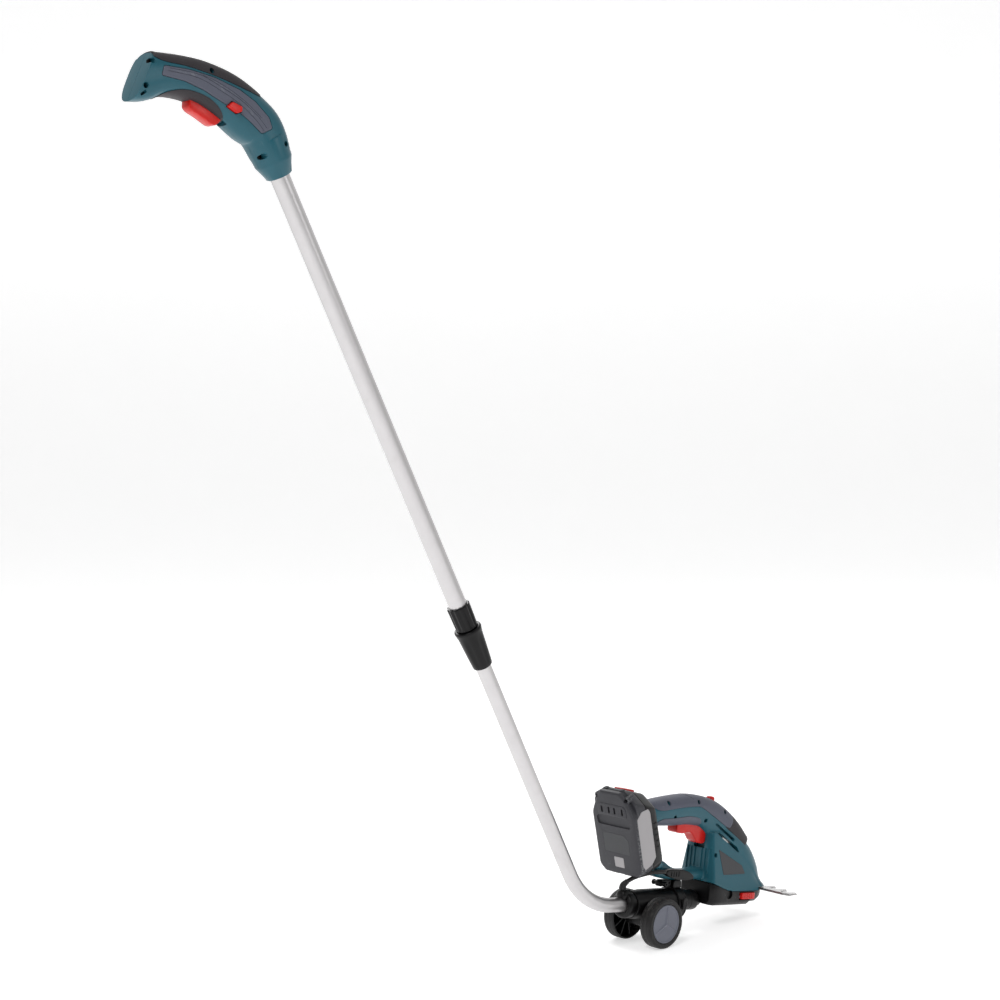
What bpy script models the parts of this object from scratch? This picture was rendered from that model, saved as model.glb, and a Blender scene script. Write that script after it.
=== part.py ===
"""Battery grass shear on a two-wheeled trolley with a telescopic pole and a trigger handle.

Scene units are metres with +Z up. +X points at the blades and -Y is the tool's right side.
Sizes below are in millimetres and become metres where a mesh is made. The trolley and the
shear are drawn level in the tool frame, whose origin is the wheel axle, and lean nose down.
"""
import math

import bmesh
import bpy
from mathutils import Vector

MM = 0.001
GAP = 0.3                      # clearance between pieces that touch
SKIN_GAP = 0.6                 # clearance under a grip skin on a curved shell

# Frames
AXLE_X = 260.90                # wheel axle ahead of the middle of the overall length
WHEEL_RADIUS = 32.7
TOOL_PITCH = 9.0               # nose-down lean of trolley and shear, degrees
BATTERY_LEAN = 20.8            # backward lean of the battery in the tool frame, degrees
POLE_LEAN = 28.04              # backward lean of the pole, degrees
POLE_FOOT = (-287.5, 396.0)    # lower end of the twist nut: x from the axle, z from the floor

# Pole
LOWER_TUBE_RADIUS = 9.5
UPPER_TUBE_RADIUS = 11.0
TUBE_WALL = 1.2
BEND_RADIUS = 104.0
LOWER_TUBE_OVERLAP = 262.0     # how far the lower tube reaches up inside the upper one
UPPER_TUBE_LENGTH = 690.0
NUT_LENGTH = 53.5
SLEEVE_LENGTH = 31.0

# Trolley, in the tool frame
BARREL_Z = 18.7                # barrel axis above the axle
BARREL_RADIUS = 20.0
STUB_END = 22.0
BARREL_FRONT = 90.0
BAND_START, BAND_END = 45.3, 61.3
AXLE_RADIUS = 4.0
WHEEL_INNER, WHEEL_OUTER = 23.6, 41.8
RIM_RADIUS = 26.0
CAP_RADIUS = 25.0

# Shear, in the tool frame
BODY_REAR = 102.0
BLADE_Z = 38.3
BLADE_THICK = 1.5
TOOTH_PITCH = 23.5
TEETH = 7
TIP_X = 247.0
BLADE_PIVOT_X = 195.0
MOTOR_X, MOTOR_RADIUS = 138.0, 17.5
PINION_TEETH, GEAR_TEETH = 8, 24
GEAR_MODULE = 1.5
GEAR_Z, GEAR_THICK = 50.0, 4.0
ECCENTRIC = 2.8

# Battery, in its own leaning frame: x forward, z along the pack
BATTERY_HALF_WIDTH = 37.5
BATTERY_REAR, BATTERY_SPLIT, BATTERY_FRONT = -28.5, -4.0, 18.6
BATTERY_BOTTOM = 72.0

COLOURS = {                    # base colour, roughness, metallic
    "teal": ((0.045, 0.140, 0.170), 0.42, 0.0),
    "slate": ((0.130, 0.135, 0.165), 0.55, 0.0),
    "charcoal": ((0.045, 0.040, 0.045), 0.75, 0.0),
    "black": ((0.018, 0.017, 0.018), 0.50, 0.0),
    "rubber": ((0.028, 0.027, 0.028), 0.85, 0.0),
    "red": ((0.620, 0.020, 0.012), 0.35, 0.0),
    "battery": ((0.085, 0.085, 0.092), 0.60, 0.0),
    "label": ((0.650, 0.630, 0.640), 0.45, 0.0),
    "aluminium": ((0.620, 0.600, 0.610), 0.32, 1.0),
    "steel": ((0.500, 0.490, 0.490), 0.30, 1.0),
    "copper": ((0.600, 0.300, 0.160), 0.35, 1.0),
}


# ---------------------------------------------------------------- frames and materials

def clear_scene():
    for obj in list(bpy.data.objects):
        bpy.data.objects.remove(obj)


def frame(name, x, z, lean=0.0, parent=None):
    """An empty at (x, 0, z) in its parent; a positive lean tips its top forward."""
    empty = bpy.data.objects.new(name, None)
    bpy.context.scene.collection.objects.link(empty)
    empty.location = (x * MM, 0, z * MM)
    empty.rotation_euler = (0, math.radians(lean), 0)
    empty.parent = parent
    return empty


def material(name):
    found = bpy.data.materials.get(name)
    if found:
        return found
    colour, roughness, metallic = COLOURS[name]
    made = bpy.data.materials.new(name)
    made.use_nodes = True
    shader = made.node_tree.nodes["Principled BSDF"]
    shader.inputs["Base Color"].default_value = (*colour, 1)
    shader.inputs["Roughness"].default_value = roughness
    shader.inputs["Metallic"].default_value = metallic
    return made


def make(name, shape, paint, parent, pivot=(0, 0, 0), bevel=0.0, segments=2):
    """A mesh object from (points, faces) in millimetres, with its origin at the pivot."""
    points, faces = shape
    mesh = bpy.data.meshes.new(name)
    mesh.from_pydata([(Vector(p) - Vector(pivot)) * MM for p in points], [], faces)
    shell = bmesh.new()
    shell.from_mesh(mesh)
    bmesh.ops.recalc_face_normals(shell, faces=shell.faces)
    shell.to_mesh(mesh)
    shell.free()
    mesh.shade_smooth()
    mesh.set_sharp_from_angle(angle=math.radians(32))
    obj = bpy.data.objects.new(name, mesh)
    bpy.context.scene.collection.objects.link(obj)
    obj.location = Vector(pivot) * MM
    obj.parent = parent
    if paint:
        mesh.materials.append(material(paint))
    if bevel:
        round_edges = obj.modifiers.new("round_edges", "BEVEL")
        round_edges.width = bevel * MM
        round_edges.segments = segments
        round_edges.limit_method = "ANGLE"
        round_edges.angle_limit = math.radians(40)
    return obj


def helper(name, shape, parent, bevel=0.0):
    obj = make(name, shape, None, parent, bevel=bevel)
    obj.hide_render = True
    obj.display_type = "WIRE"
    return obj


def combine(obj, operation, others):
    for other in others:
        modifier = obj.modifiers.new(other.name, "BOOLEAN")
        modifier.operation = operation
        modifier.solver = "EXACT"
        modifier.object = other
    return obj


def cut(obj, *others):
    return combine(obj, "DIFFERENCE", others)


def fuse(obj, *others):
    return combine(obj, "UNION", others)


# ---------------------------------------------------------------- shapes

def loft(rings):
    """Joins rings of equal length and closes both ends."""
    count = len(rings[0])
    points = [p for ring in rings for p in ring]
    faces = [tuple(reversed(range(count)))]
    for i in range(len(rings) - 1):
        for j in range(count):
            k = (j + 1) % count
            faces.append((i * count + j, i * count + k, (i + 1) * count + k, (i + 1) * count + j))
    faces.append(tuple(range((len(rings) - 1) * count, len(rings) * count)))
    return points, faces


def prism(outline, y0, y1):
    """An outline in x and z, pulled from y0 to y1."""
    return loft([[(x, y, z) for x, z in outline] for y in (y0, y1)])


def slab(outline, z0, z1):
    """An outline in x and y, pulled from z0 to z1."""
    return loft([[(x, y, z) for x, y in outline] for z in (z0, z1)])


def block(x0, x1, y0, y1, z0, z1):
    return slab([(x0, y0), (x1, y0), (x1, y1), (x0, y1)], z0, z1)


def oriented(axis, along, a, b):
    return {"x": (along, a, b), "y": (a, along, b), "z": (a, b, along)}[axis]


def turned(profile, count, axis="x", centre=(0, 0, 0)):
    """Turns (along, radius) points about an axis; a closed profile gives a ring, one that
    starts and ends at radius 0 gives a solid."""
    points, rows = [], []
    for along, radius in profile:
        row = []
        for i in range(count if radius > 0 else 1):
            a = 2 * math.pi * i / count
            p = Vector(oriented(axis, along, radius * math.cos(a), radius * math.sin(a)))
            row.append(len(points))
            points.append(tuple(p + Vector(centre)))
        rows.append(row)
    solid = profile[0][1] == 0 and profile[-1][1] == 0
    pairs = list(zip(rows, rows[1:] if solid else rows[1:] + rows[:1]))
    faces = []
    for low, high in pairs:
        for i in range(count):
            j = (i + 1) % count
            quad = [low[i % len(low)], low[j % len(low)], high[j % len(high)], high[i % len(high)]]
            faces.append(tuple(dict.fromkeys(quad)))
    return points, faces


def rod(axis, radius, start, end, centre=(0, 0, 0), count=16):
    return turned([(start, 0), (start, radius), (end, radius), (end, 0)], count, axis, centre)


def tube(axis, outer, inner, start, end, centre=(0, 0, 0), count=24):
    profile = [(start, inner), (start, outer), (end, outer), (end, inner)]
    return turned(profile, count, axis, centre)


def joined(*shapes):
    """Several separate closed shapes as one mesh, for a cutter."""
    points, faces = [], []
    for some_points, some_faces in shapes:
        first = len(points)
        points += some_points
        faces += [tuple(first + i for i in face) for face in some_faces]
    return points, faces


def oval(centre, normal, half_depth, half_width, count=20, square=2.6):
    """A squarish ring in the plane of a normal (in x and z) and the y axis."""
    ring = []
    for i in range(count):
        a = 2 * math.pi * i / count
        c, s = math.cos(a), math.sin(a)
        n = half_depth * math.copysign(abs(c) ** (2 / square), c)
        y = half_width * math.copysign(abs(s) ** (2 / square), s)
        ring.append((centre[0] + n * normal[0], y, centre[1] + n * normal[1]))
    return ring


class Spine:
    """A body swept along a curved line in the xz plane, with an oval section.

    Each station is (x, z, half depth, half width); the line is smooth through them all."""

    def __init__(self, stations, square=2.6):
        self.stations = stations
        self.square = square

    def at(self, t):
        """x, z, half depth and half width at t, from 0 at the first station to 1 at the last."""
        last = len(self.stations) - 1
        i = min(int(t * last), last - 1)
        f = t * last - i
        rows = [self.stations[min(max(k, 0), last)] for k in (i - 1, i, i + 1, i + 2)]
        return [0.5 * (2 * b + (c - a) * f + (2 * a - 5 * b + 4 * c - d) * f ** 2
                       + (3 * b - a - 3 * c + d) * f ** 3) for a, b, c, d in zip(*rows)]

    def normal(self, t):
        step = 0.01
        low, high = self.at(max(t - step, 0)), self.at(min(t + step, 1))
        tangent = Vector((high[0] - low[0], high[1] - low[1])).normalized()
        return (-tangent.y, tangent.x)

    def solid(self, start=0.0, end=1.0, offset=0.0, steps=14, count=20):
        rings = []
        for i in range(steps + 1):
            t = start + (end - start) * i / steps
            x, z, depth, width = self.at(t)
            rings.append(oval((x, z), self.normal(t), depth + offset, width + offset,
                              count, self.square))
        return loft(rings)

    def surface(self, t, angle, offset):
        x, z, depth, width = self.at(t)
        nx, nz = self.normal(t)
        a = math.radians(angle)
        c, s = math.cos(a), math.sin(a)
        n = (depth + offset) * math.copysign(abs(c) ** (2 / self.square), c)
        y = (width + offset) * math.copysign(abs(s) ** (2 / self.square), s)
        return (x + n * nx, y, z + n * nz)

    def patch(self, start, end, low, high, thick, steps=10, around=6):
        """A skin on the spine between two angles, 0 on its outer side and -90 on the right.
        low and high are angles, or functions of how far along the patch the point is."""
        rings = []
        for i in range(steps + 1):
            f = i / steps
            t = start + (end - start) * f
            first, last = (edge(f) if callable(edge) else edge for edge in (low, high))
            angles = [first + (last - first) * j / around for j in range(around + 1)]
            ring = [self.surface(t, a, SKIN_GAP) for a in angles]
            ring += [self.surface(t, a, thick) for a in reversed(angles)]
            rings.append(ring)
        return loft(rings)


def gear_outline(teeth, centre, phase=0.0):
    """A toothed outline with straight flanks, turned by a part of one tooth's pitch."""
    outline = []
    radius = GEAR_MODULE * teeth / 2
    pitch = 2 * math.pi / teeth
    for i in range(teeth):
        for step, r in ((-0.26, radius - 1.8), (-0.11, radius + 1.0),
                        (0.11, radius + 1.0), (0.26, radius - 1.8)):
            a = pitch * (i + step + phase)
            outline.append((centre[0] + r * math.cos(a), centre[1] + r * math.sin(a)))
    return outline


# ---------------------------------------------------------------- trolley

def build_trolley(tool):
    axis = (0, 0, BARREL_Z)
    bore = LOWER_TUBE_RADIUS + 0.4
    barrel = [(-31, bore), (-31, 17.5), (-29.5, 18.5), (40, BARREL_RADIUS), (63, BARREL_RADIUS),
              (63, 13.2), (STUB_END + 3, 13.2), (STUB_END + 3, bore)]
    housing = make("trolley_housing", turned(barrel, 28, "x", axis), "black", tool)
    boss = helper("axle_boss", block(-12, 12, -21.5, 21.5, -9, 6), tool, bevel=2)
    clear = helper("cut_tube_bore", rod("x", bore, -60, STUB_END + 3.5, axis, 24), tool)
    drilled = helper("cut_axle_bore", rod("y", AXLE_RADIUS + GAP, -30, 30), tool)
    fuse(housing, boss)
    cut(housing, clear, drilled)

    collar = [(-45, bore), (-45, 15.5), (-43, 17.5), (-33, 17.5), (-31.3, 16.0), (-31.3, bore)]
    rear_collar = make("rear_collar", turned(collar, 28, "x", axis), "black", tool)
    grommet_seat = helper("cut_grommet_seat", rod("x", 8.8, -60, -35.6, (0, 0, 31)), tool)
    cut(rear_collar, grommet_seat)
    dome = [(-51, 0), (-51, 4.5), (-49.5, 7.2), (-46, 8.5), (-36, 8.5), (-36, 0)]
    grommet = make("cable_grommet", turned(dome, 16, "x", (0, 0, 31)), "rubber", tool)
    cut(grommet, clear)

    plug = [(52, 0), (52, 12.9), (63.3, 12.9), (63.3, 17), (88.5, 17), (BARREL_FRONT, 15.5),
            (BARREL_FRONT, 9), (105, 9), (105, 0)]
    barrel_front = make("front_barrel", turned(plug, 28, "x", axis), "black", tool)
    cut(barrel_front, helper("cut_flat_sole", block(50, 110, -30, 30, -20, 8.7), tool))

    band = tube("x", 22.3, BARREL_RADIUS + GAP, BAND_START, BAND_END, axis, 28)
    clamp_band = make("clamp_band", band, "black", tool)
    arm = helper("clamp_arm", block(BAND_START, BAND_END, -8, 8, 39.8, 50.4), tool, bevel=1)
    slot = helper("cut_latch_slot", block(51, 57, -24, -18, 14, 26), tool)
    cut(fuse(clamp_band, arm), slot)
    latch = prism([(49.5, 10.5), (58.5, 10.5), (58.5, 27), (56.5, 29.5), (51.5, 29.5),
                   (49.5, 27)], -27, -22.8)
    make("clamp_latch", latch, "black", tool, pivot=(54, -24, 11.5), bevel=0.8, segments=1)

    saddle = [(8, 42.5), (11, 50.3), (42, 50.3), (43.5, 47), (43.5, 39.5), (16, 38.9), (9, 39.4)]
    cradle = make("cradle", prism(saddle, -9, 9), "black", tool, bevel=1, segments=1)
    round_top = helper("cut_barrel_top", rod("x", BARREL_RADIUS + GAP, 0, 60, axis, 32), tool)
    bolt_hole = helper("cut_bolt_hole", rod("y", 2.4, -12, 12, (14, 0, 45.5)), tool)
    cut(cradle, round_top, bolt_hole)
    bolt = [(-12.5, 0), (-12.5, 2.6), (-11.8, 3.6), (-9.3, 3.6), (-9.3, 2), (9.3, 2),
            (9.3, 3.6), (12, 3.6), (12, 0)]
    make("cradle_bolt", turned(bolt, 12, "y", (14, 0, 45.5)), "black", tool)


def build_wheels(tool):
    ends = WHEEL_OUTER - 4
    make("axle", rod("y", AXLE_RADIUS, -ends, ends), "steel", tool)
    for side, sign in (("right", -1), ("left", 1)):
        tyre = [(WHEEL_INNER, RIM_RADIUS + GAP), (WHEEL_INNER, 30.2), (WHEEL_INNER + 3.5, WHEEL_RADIUS),
                (WHEEL_OUTER - 3.5, WHEEL_RADIUS), (WHEEL_OUTER, 30.2), (WHEEL_OUTER, RIM_RADIUS + GAP)]
        make(f"tyre_{side}", turned([(sign * y, r) for y, r in tyre], 32, "y"), "rubber", tool)
        rim = [(WHEEL_INNER + 0.8, 24), (WHEEL_INNER + 0.8, RIM_RADIUS), (WHEEL_OUTER - 0.4, RIM_RADIUS),
               (WHEEL_OUTER - 0.4, CAP_RADIUS + 0.4), (WHEEL_OUTER - 3.2, CAP_RADIUS + 0.4),
               (WHEEL_OUTER - 3.2, AXLE_RADIUS + GAP), (WHEEL_INNER - 1.4, AXLE_RADIUS + GAP),
               (WHEEL_INNER - 1.4, 7.5), (WHEEL_OUTER - 6, 7.5), (WHEEL_OUTER - 6, 24)]
        hub = make(f"hub_{side}", turned([(sign * y, r) for y, r in rim], 28, "y"), "black", tool)
        ribs = []
        for i in range(6):
            a = 2 * math.pi * (i + 0.5) / 6
            c, s = math.cos(a), math.sin(a)
            corners = [(7 * c - 0.9 * s, 7 * s + 0.9 * c), (24.6 * c - 0.9 * s, 24.6 * s + 0.9 * c),
                       (24.6 * c + 0.9 * s, 24.6 * s - 0.9 * c), (7 * c + 0.9 * s, 7 * s - 0.9 * c)]
            ends_y = sorted((sign * (WHEEL_INNER + 3), sign * (WHEEL_OUTER - 5)))
            ribs.append(prism(corners, *ends_y))
        fuse(hub, helper(f"ribs_{side}", joined(*ribs), tool))
        cap = [(WHEEL_OUTER - 2.9, 0), (WHEEL_OUTER - 2.9, CAP_RADIUS), (WHEEL_OUTER - 1, CAP_RADIUS),
               (WHEEL_OUTER, CAP_RADIUS - 1), (WHEEL_OUTER, 0)]
        make(f"hub_cap_{side}", turned([(sign * y, r) for y, r in cap], 28, "y"), "slate", tool)


# ---------------------------------------------------------------- pole

def pole_point(along):
    """Point on the pole's axis, measured up it from the foot of the twist nut."""
    lean = math.radians(POLE_LEAN)
    return (POLE_FOOT[0] - along * math.sin(lean), POLE_FOOT[1] + along * math.cos(lean))


def barrel_point(along):
    """Point on the barrel's axis, in the ground frame."""
    pitch = math.radians(TOOL_PITCH)
    return (along * math.cos(pitch) + BARREL_Z * math.sin(pitch),
            WHEEL_RADIUS - along * math.sin(pitch) + BARREL_Z * math.cos(pitch))


def bent_line():
    """The lower tube's centre line, from its end in the barrel to its end in the upper tube."""
    down = Vector(pole_point(-400)) - Vector(pole_point(0))
    back = Vector(barrel_point(0)) - Vector(barrel_point(100))
    start = Vector(pole_point(0))
    offset = Vector(barrel_point(0)) - start
    reach = (offset.x * back.y - offset.y * back.x) / (down.x * back.y - down.y * back.x)
    corner = start + down * reach
    forward, upward = -back.normalized(), -down.normalized()
    half_turn = (math.pi - forward.angle(upward)) / 2
    length = BEND_RADIUS * math.tan(half_turn)
    middle = corner + (forward + upward).normalized() * (BEND_RADIUS / math.cos(half_turn))
    spoke = corner + forward * length - middle
    points = [Vector(barrel_point(STUB_END)), Vector(barrel_point(-31))]
    sweep = 2 * half_turn
    for i in range(9):
        a = -sweep * i / 8
        turned_spoke = Vector((spoke.x * math.cos(a) - spoke.y * math.sin(a),
                               spoke.x * math.sin(a) + spoke.y * math.cos(a)))
        points.append(middle + turned_spoke)
    points.append(Vector(pole_point(0)))
    points.append(Vector(pole_point(LOWER_TUBE_OVERLAP)))
    return points


def swept_tube(line, outer, inner, count=16):
    """A pipe along a line in the xz plane."""
    points, faces = [], []
    for i, here in enumerate(line):
        before, after = line[max(i - 1, 0)], line[min(i + 1, len(line) - 1)]
        tangent = (after - before).normalized()
        for radius in (outer, inner):
            for j in range(count):
                a = 2 * math.pi * j / count
                side = radius * math.cos(a)
                points.append((here.x - tangent.y * side, radius * math.sin(a), here.y + tangent.x * side))
    stride = 2 * count
    for j in range(count):
        k = (j + 1) % count
        for i in range(len(line) - 1):
            a, b = i * stride, (i + 1) * stride
            faces.append((a + j, a + k, b + k, b + j))
            faces.append((a + count + j, b + count + j, b + count + k, a + count + k))
        end = (len(line) - 1) * stride
        faces.append((j, count + j, count + k, k))
        faces.append((end + j, end + k, end + count + k, end + count + j))
    return points, faces


def build_pole(ground, pole):
    pipe = swept_tube(bent_line(), LOWER_TUBE_RADIUS, LOWER_TUBE_RADIUS - TUBE_WALL)
    make("lower_tube", pipe, "aluminium", ground)
    upper = tube("z", UPPER_TUBE_RADIUS, UPPER_TUBE_RADIUS - TUBE_WALL, 16, UPPER_TUBE_LENGTH)
    make("upper_tube", upper, "aluminium", pole)
    bore = UPPER_TUBE_RADIUS + GAP
    nut = [(0, LOWER_TUBE_RADIUS + 0.4), (0, 11.6), (1.5, 12.4), (NUT_LENGTH - 5, 15.6),
           (NUT_LENGTH - 3, 16.4), (NUT_LENGTH, 16.4), (NUT_LENGTH, bore), (3, bore),
           (3, LOWER_TUBE_RADIUS + 0.4)]
    make("twist_nut", turned(nut, 24, "z"), "charcoal", pole)
    collet = tube("z", UPPER_TUBE_RADIUS, LOWER_TUBE_RADIUS + GAP, 3.4, 15.6)
    split = helper("cut_collet_split", block(5, 15, -1, 1, 0, 20), pole)
    cut(make("clamp_collet", collet, "black", pole), split)
    low, high = NUT_LENGTH + 1.2, NUT_LENGTH + 1.2 + SLEEVE_LENGTH
    profile = [(low, bore), (low, 13.4), (high - 3, 13.6), (high - 2, 14.2), (high, 14.2), (high, bore)]
    make("grip_sleeve", turned(profile, 24, "z"), "charcoal", pole)


# ---------------------------------------------------------------- pole handle

HANDLE = Spine([
    (-790, 1040, 27, 19), (-762, 1042, 27, 19), (-741, 1045.5, 23, 19.5), (-716, 1046, 22.5, 19.5),
    (-688, 1042, 23.5, 19.5), (-657, 1030, 26, 20), (-630, 1014, 27, 21), (-611, 1001, 24.5, 21.5),
    (-597, 977, 20.5, 20.5), (-585.5, 955.5, 13.6, 13.6)])


def build_handle(ground, pole):
    hollow = helper("cut_handle_hollow", HANDLE.solid(0.14, 1.0, -3.2), ground)
    socket = helper("cut_tube_socket", rod("z", UPPER_TUBE_RADIUS + GAP, 560, 694, count=24), pole)
    trigger_way = helper("cut_trigger_way", prism([(-719, 1034), (-719, 1000), (-664, 975),
                                                   (-656, 1012), (-676, 1024)], -8, 8), ground)
    button_way = helper("cut_button_way", rod("y", 6.3, -30, 30, (-656.5, 0, 1017)), ground)
    rear_end = helper("cut_rear_end", prism([(-850, 1100), (-736, 1100), (-776.5, 1008), (-776.5, 980),
                                             (-850, 980)], -40, 40), ground)
    for side, sign in (("right", 1), ("left", -1)):
        shell = make(f"handle_shell_{side}", HANDLE.solid(steps=18), "teal", ground)
        far = sorted((-0.15 * sign, 60 * sign))
        cut(shell, helper(f"cut_handle_{side}", block(-900, -450, *far, 850, 1150), ground),
            hollow, socket, trigger_way, button_way, rear_end)
        reach = (-52, -104) if side == "right" else (52, 104)
        panel = HANDLE.patch(0.22, 0.79, *sorted(reach), 1.5)
        cut(make(f"side_panel_{side}", panel, "slate", ground), button_way)
    make("top_grip_pole", HANDLE.patch(0.13, 0.68, -46, 46, 1.9), "charcoal", ground)
    under = make("under_grip", HANDLE.patch(0.27, 0.63, 128, 232, 1.8), "charcoal", ground)
    cut(under, trigger_way)

    trigger = [(-704.5, 1024), (-705, 1014), (-701, 1009.5), (-690, 1004.5), (-677, 997.8),
               (-671.5, 998.2), (-663.5, 1006.5), (-664.3, 1011), (-680, 1022), (-697, 1028.5)]
    make("handle_trigger", prism(trigger, -7.4, 7.4), "red", ground,
         pivot=(-699, 0, 1024), bevel=1.5)
    make("handle_switch", block(-690, -668, -8, 8, 1029, 1043), "black", ground)
    button = [(-23.6, 0), (-23.6, 4.8), (-22.6, 5.8), (22.6, 5.8), (23.6, 4.8), (23.6, 0)]
    make("handle_lock_button", turned(button, 16, "y", (-656.5, 0, 1017)), "red", ground,
         pivot=(-656.5, 0, 1017))


# ---------------------------------------------------------------- shear

TOP_HANDLE = Spine([
    (-27, 138, 14, 15), (-12, 139, 16, 17), (8, 140.5, 18, 17.8), (34, 142.5, 19.5, 18),
    (60, 144, 20.2, 18), (86, 141.5, 21, 18.2), (108, 133.5, 24, 18.8), (128, 121, 27, 20),
    (146, 106, 30, 21.5), (160, 90, 33, 23)])


def side_reach(z):
    """Half width of the motor body at a height in the tool frame."""
    return 30.8 - 0.155 * (z - 50)


def body_ring(z, front, count=9):
    """Plan of the motor body at one height: square at the rear, round at the nose."""
    half = side_reach(z)
    nose = min(34.0, front - BODY_REAR - 6)
    ring = [(BODY_REAR - 3, -half + 9), (BODY_REAR, -half)]
    for i in range(count):
        a = math.pi * (i / (count - 1) - 0.5)
        ring.append((front - nose + nose * math.cos(a) ** 0.8 if math.cos(a) > 1e-6 else front - nose,
                     half * math.sin(a)))
    ring += [(BODY_REAR, half), (BODY_REAR - 3, half - 9)]
    return [(x, y, z) for x, y in ring]


def shoe_ring(x, low, high, half):
    """Section of the base shoe at one place along it, with bevelled lower corners."""
    rise = min(6.0, (high - low) * 0.5)
    return [(x, -half + 5, low), (x, half - 5, low), (x, half, low + rise), (x, half, high),
            (x, -half, high), (x, -half, low + rise)]


def comb(depth, reach, half_tip, half_root, rear_half, rear_x):
    """Plan of a blade: a tail inside the nose, a cross bar and teeth whose tips lie on an arc."""
    half_bar = TOOTH_PITCH * (TEETH - 1) / 2 + half_root
    outline = [(rear_x, -rear_half), (203, -rear_half), (203, -half_bar + 8), (208, -half_bar)]
    for i in range(TEETH):
        y = TOOTH_PITCH * (i - (TEETH - 1) / 2)
        tip = reach - 0.0030 * y * y
        root = tip - depth
        outline += [(root, y - half_root), (tip - 1.5, y - half_tip), (tip, y), (tip - 1.5, y + half_tip),
                    (root, y + half_root)]
    outline += [(208, half_bar), (203, half_bar - 8), (203, rear_half), (rear_x, rear_half)]
    return outline


def build_shear_shells(tool, battery):
    post = [(22.4, -16.5), (22.4, 16.5), (36.6, 16.5), (36.6, -16.5)]
    post_solid = helper("post_solid", slab(post, 60, 146), battery, bevel=4)
    bar = Spine([(-2, 67, 9, 11), (14, 66, 12, 12), (32, 60.5, 9.3, 12), (52, 57.8, 7, 12),
                 (78, 57.3, 6.8, 12.5), (110, 58, 9, 14)], square=3.2)
    lower_bar = helper("lower_bar", bar.solid(steps=10, count=12), tool)
    levels = [(34, 226), (42, 227), (47, 221), (53, 215), (60, 212), (68, 210), (81, 203),
              (94, 193), (106, 178), (116, 160)]
    motor_body = helper("motor_body", loft([body_ring(*level) for level in levels]), tool)
    pack_side = helper("cut_pack_side", block(-60, 22.3, -30, 30, 40, 200), battery)
    below = [(60, 49.4), (101, 49.3), (120, 42.6), (136, 38.3), (150, 38), (250, 38),
             (250, 0), (60, 0)]
    split = helper("cut_shoe_side", prism(below, -60, 60), tool)
    motor_bay = helper("cut_motor_bay", rod("z", MOTOR_RADIUS + 0.8, 59, 114, (MOTOR_X, 0, 0), 24), tool)
    gear_bay = helper("cut_gear_bay", block(114, 192, -22, 22, 41, 59.3), tool)
    blade_way = helper("cut_blade_way", block(144, 260, -25.5, 25.5, 30, 43), tool)
    comb_way = helper("cut_comb_way", block(199, 260, -50, 50, 29.6, 42.7), tool)
    grip_bay = helper("cut_grip_bay", TOP_HANDLE.solid(0.12, 0.6, -3.5), tool)
    trigger_way = helper("cut_shear_trigger_way", prism([(37, 100), (106, 92), (108, 116), (86, 134),
                                                         (37, 134)], -9.4, 9.4), tool)
    button_way = helper("cut_lock_off_way", rod("z", 6.3, 140, 175, (112, 0, 0)), tool)
    terminal_way = helper("cut_terminal_way", block(18, 30.3, -12.3, 12.3, 89.7, 130.3), battery)
    for side, sign in (("right", 1), ("left", -1)):
        shell = make(f"shear_shell_{side}", TOP_HANDLE.solid(steps=18), "teal", tool)
        fuse(shell, motor_body, post_solid, lower_bar)
        far = sorted((-0.15 * sign, 90 * sign))
        half = helper(f"cut_shear_{side}", block(-120, 300, *far, -20, 220), tool)
        cut(shell, trigger_way, grip_bay, motor_bay, gear_bay, blade_way, comb_way, button_way, pack_side,
            terminal_way, split, half)


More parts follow.
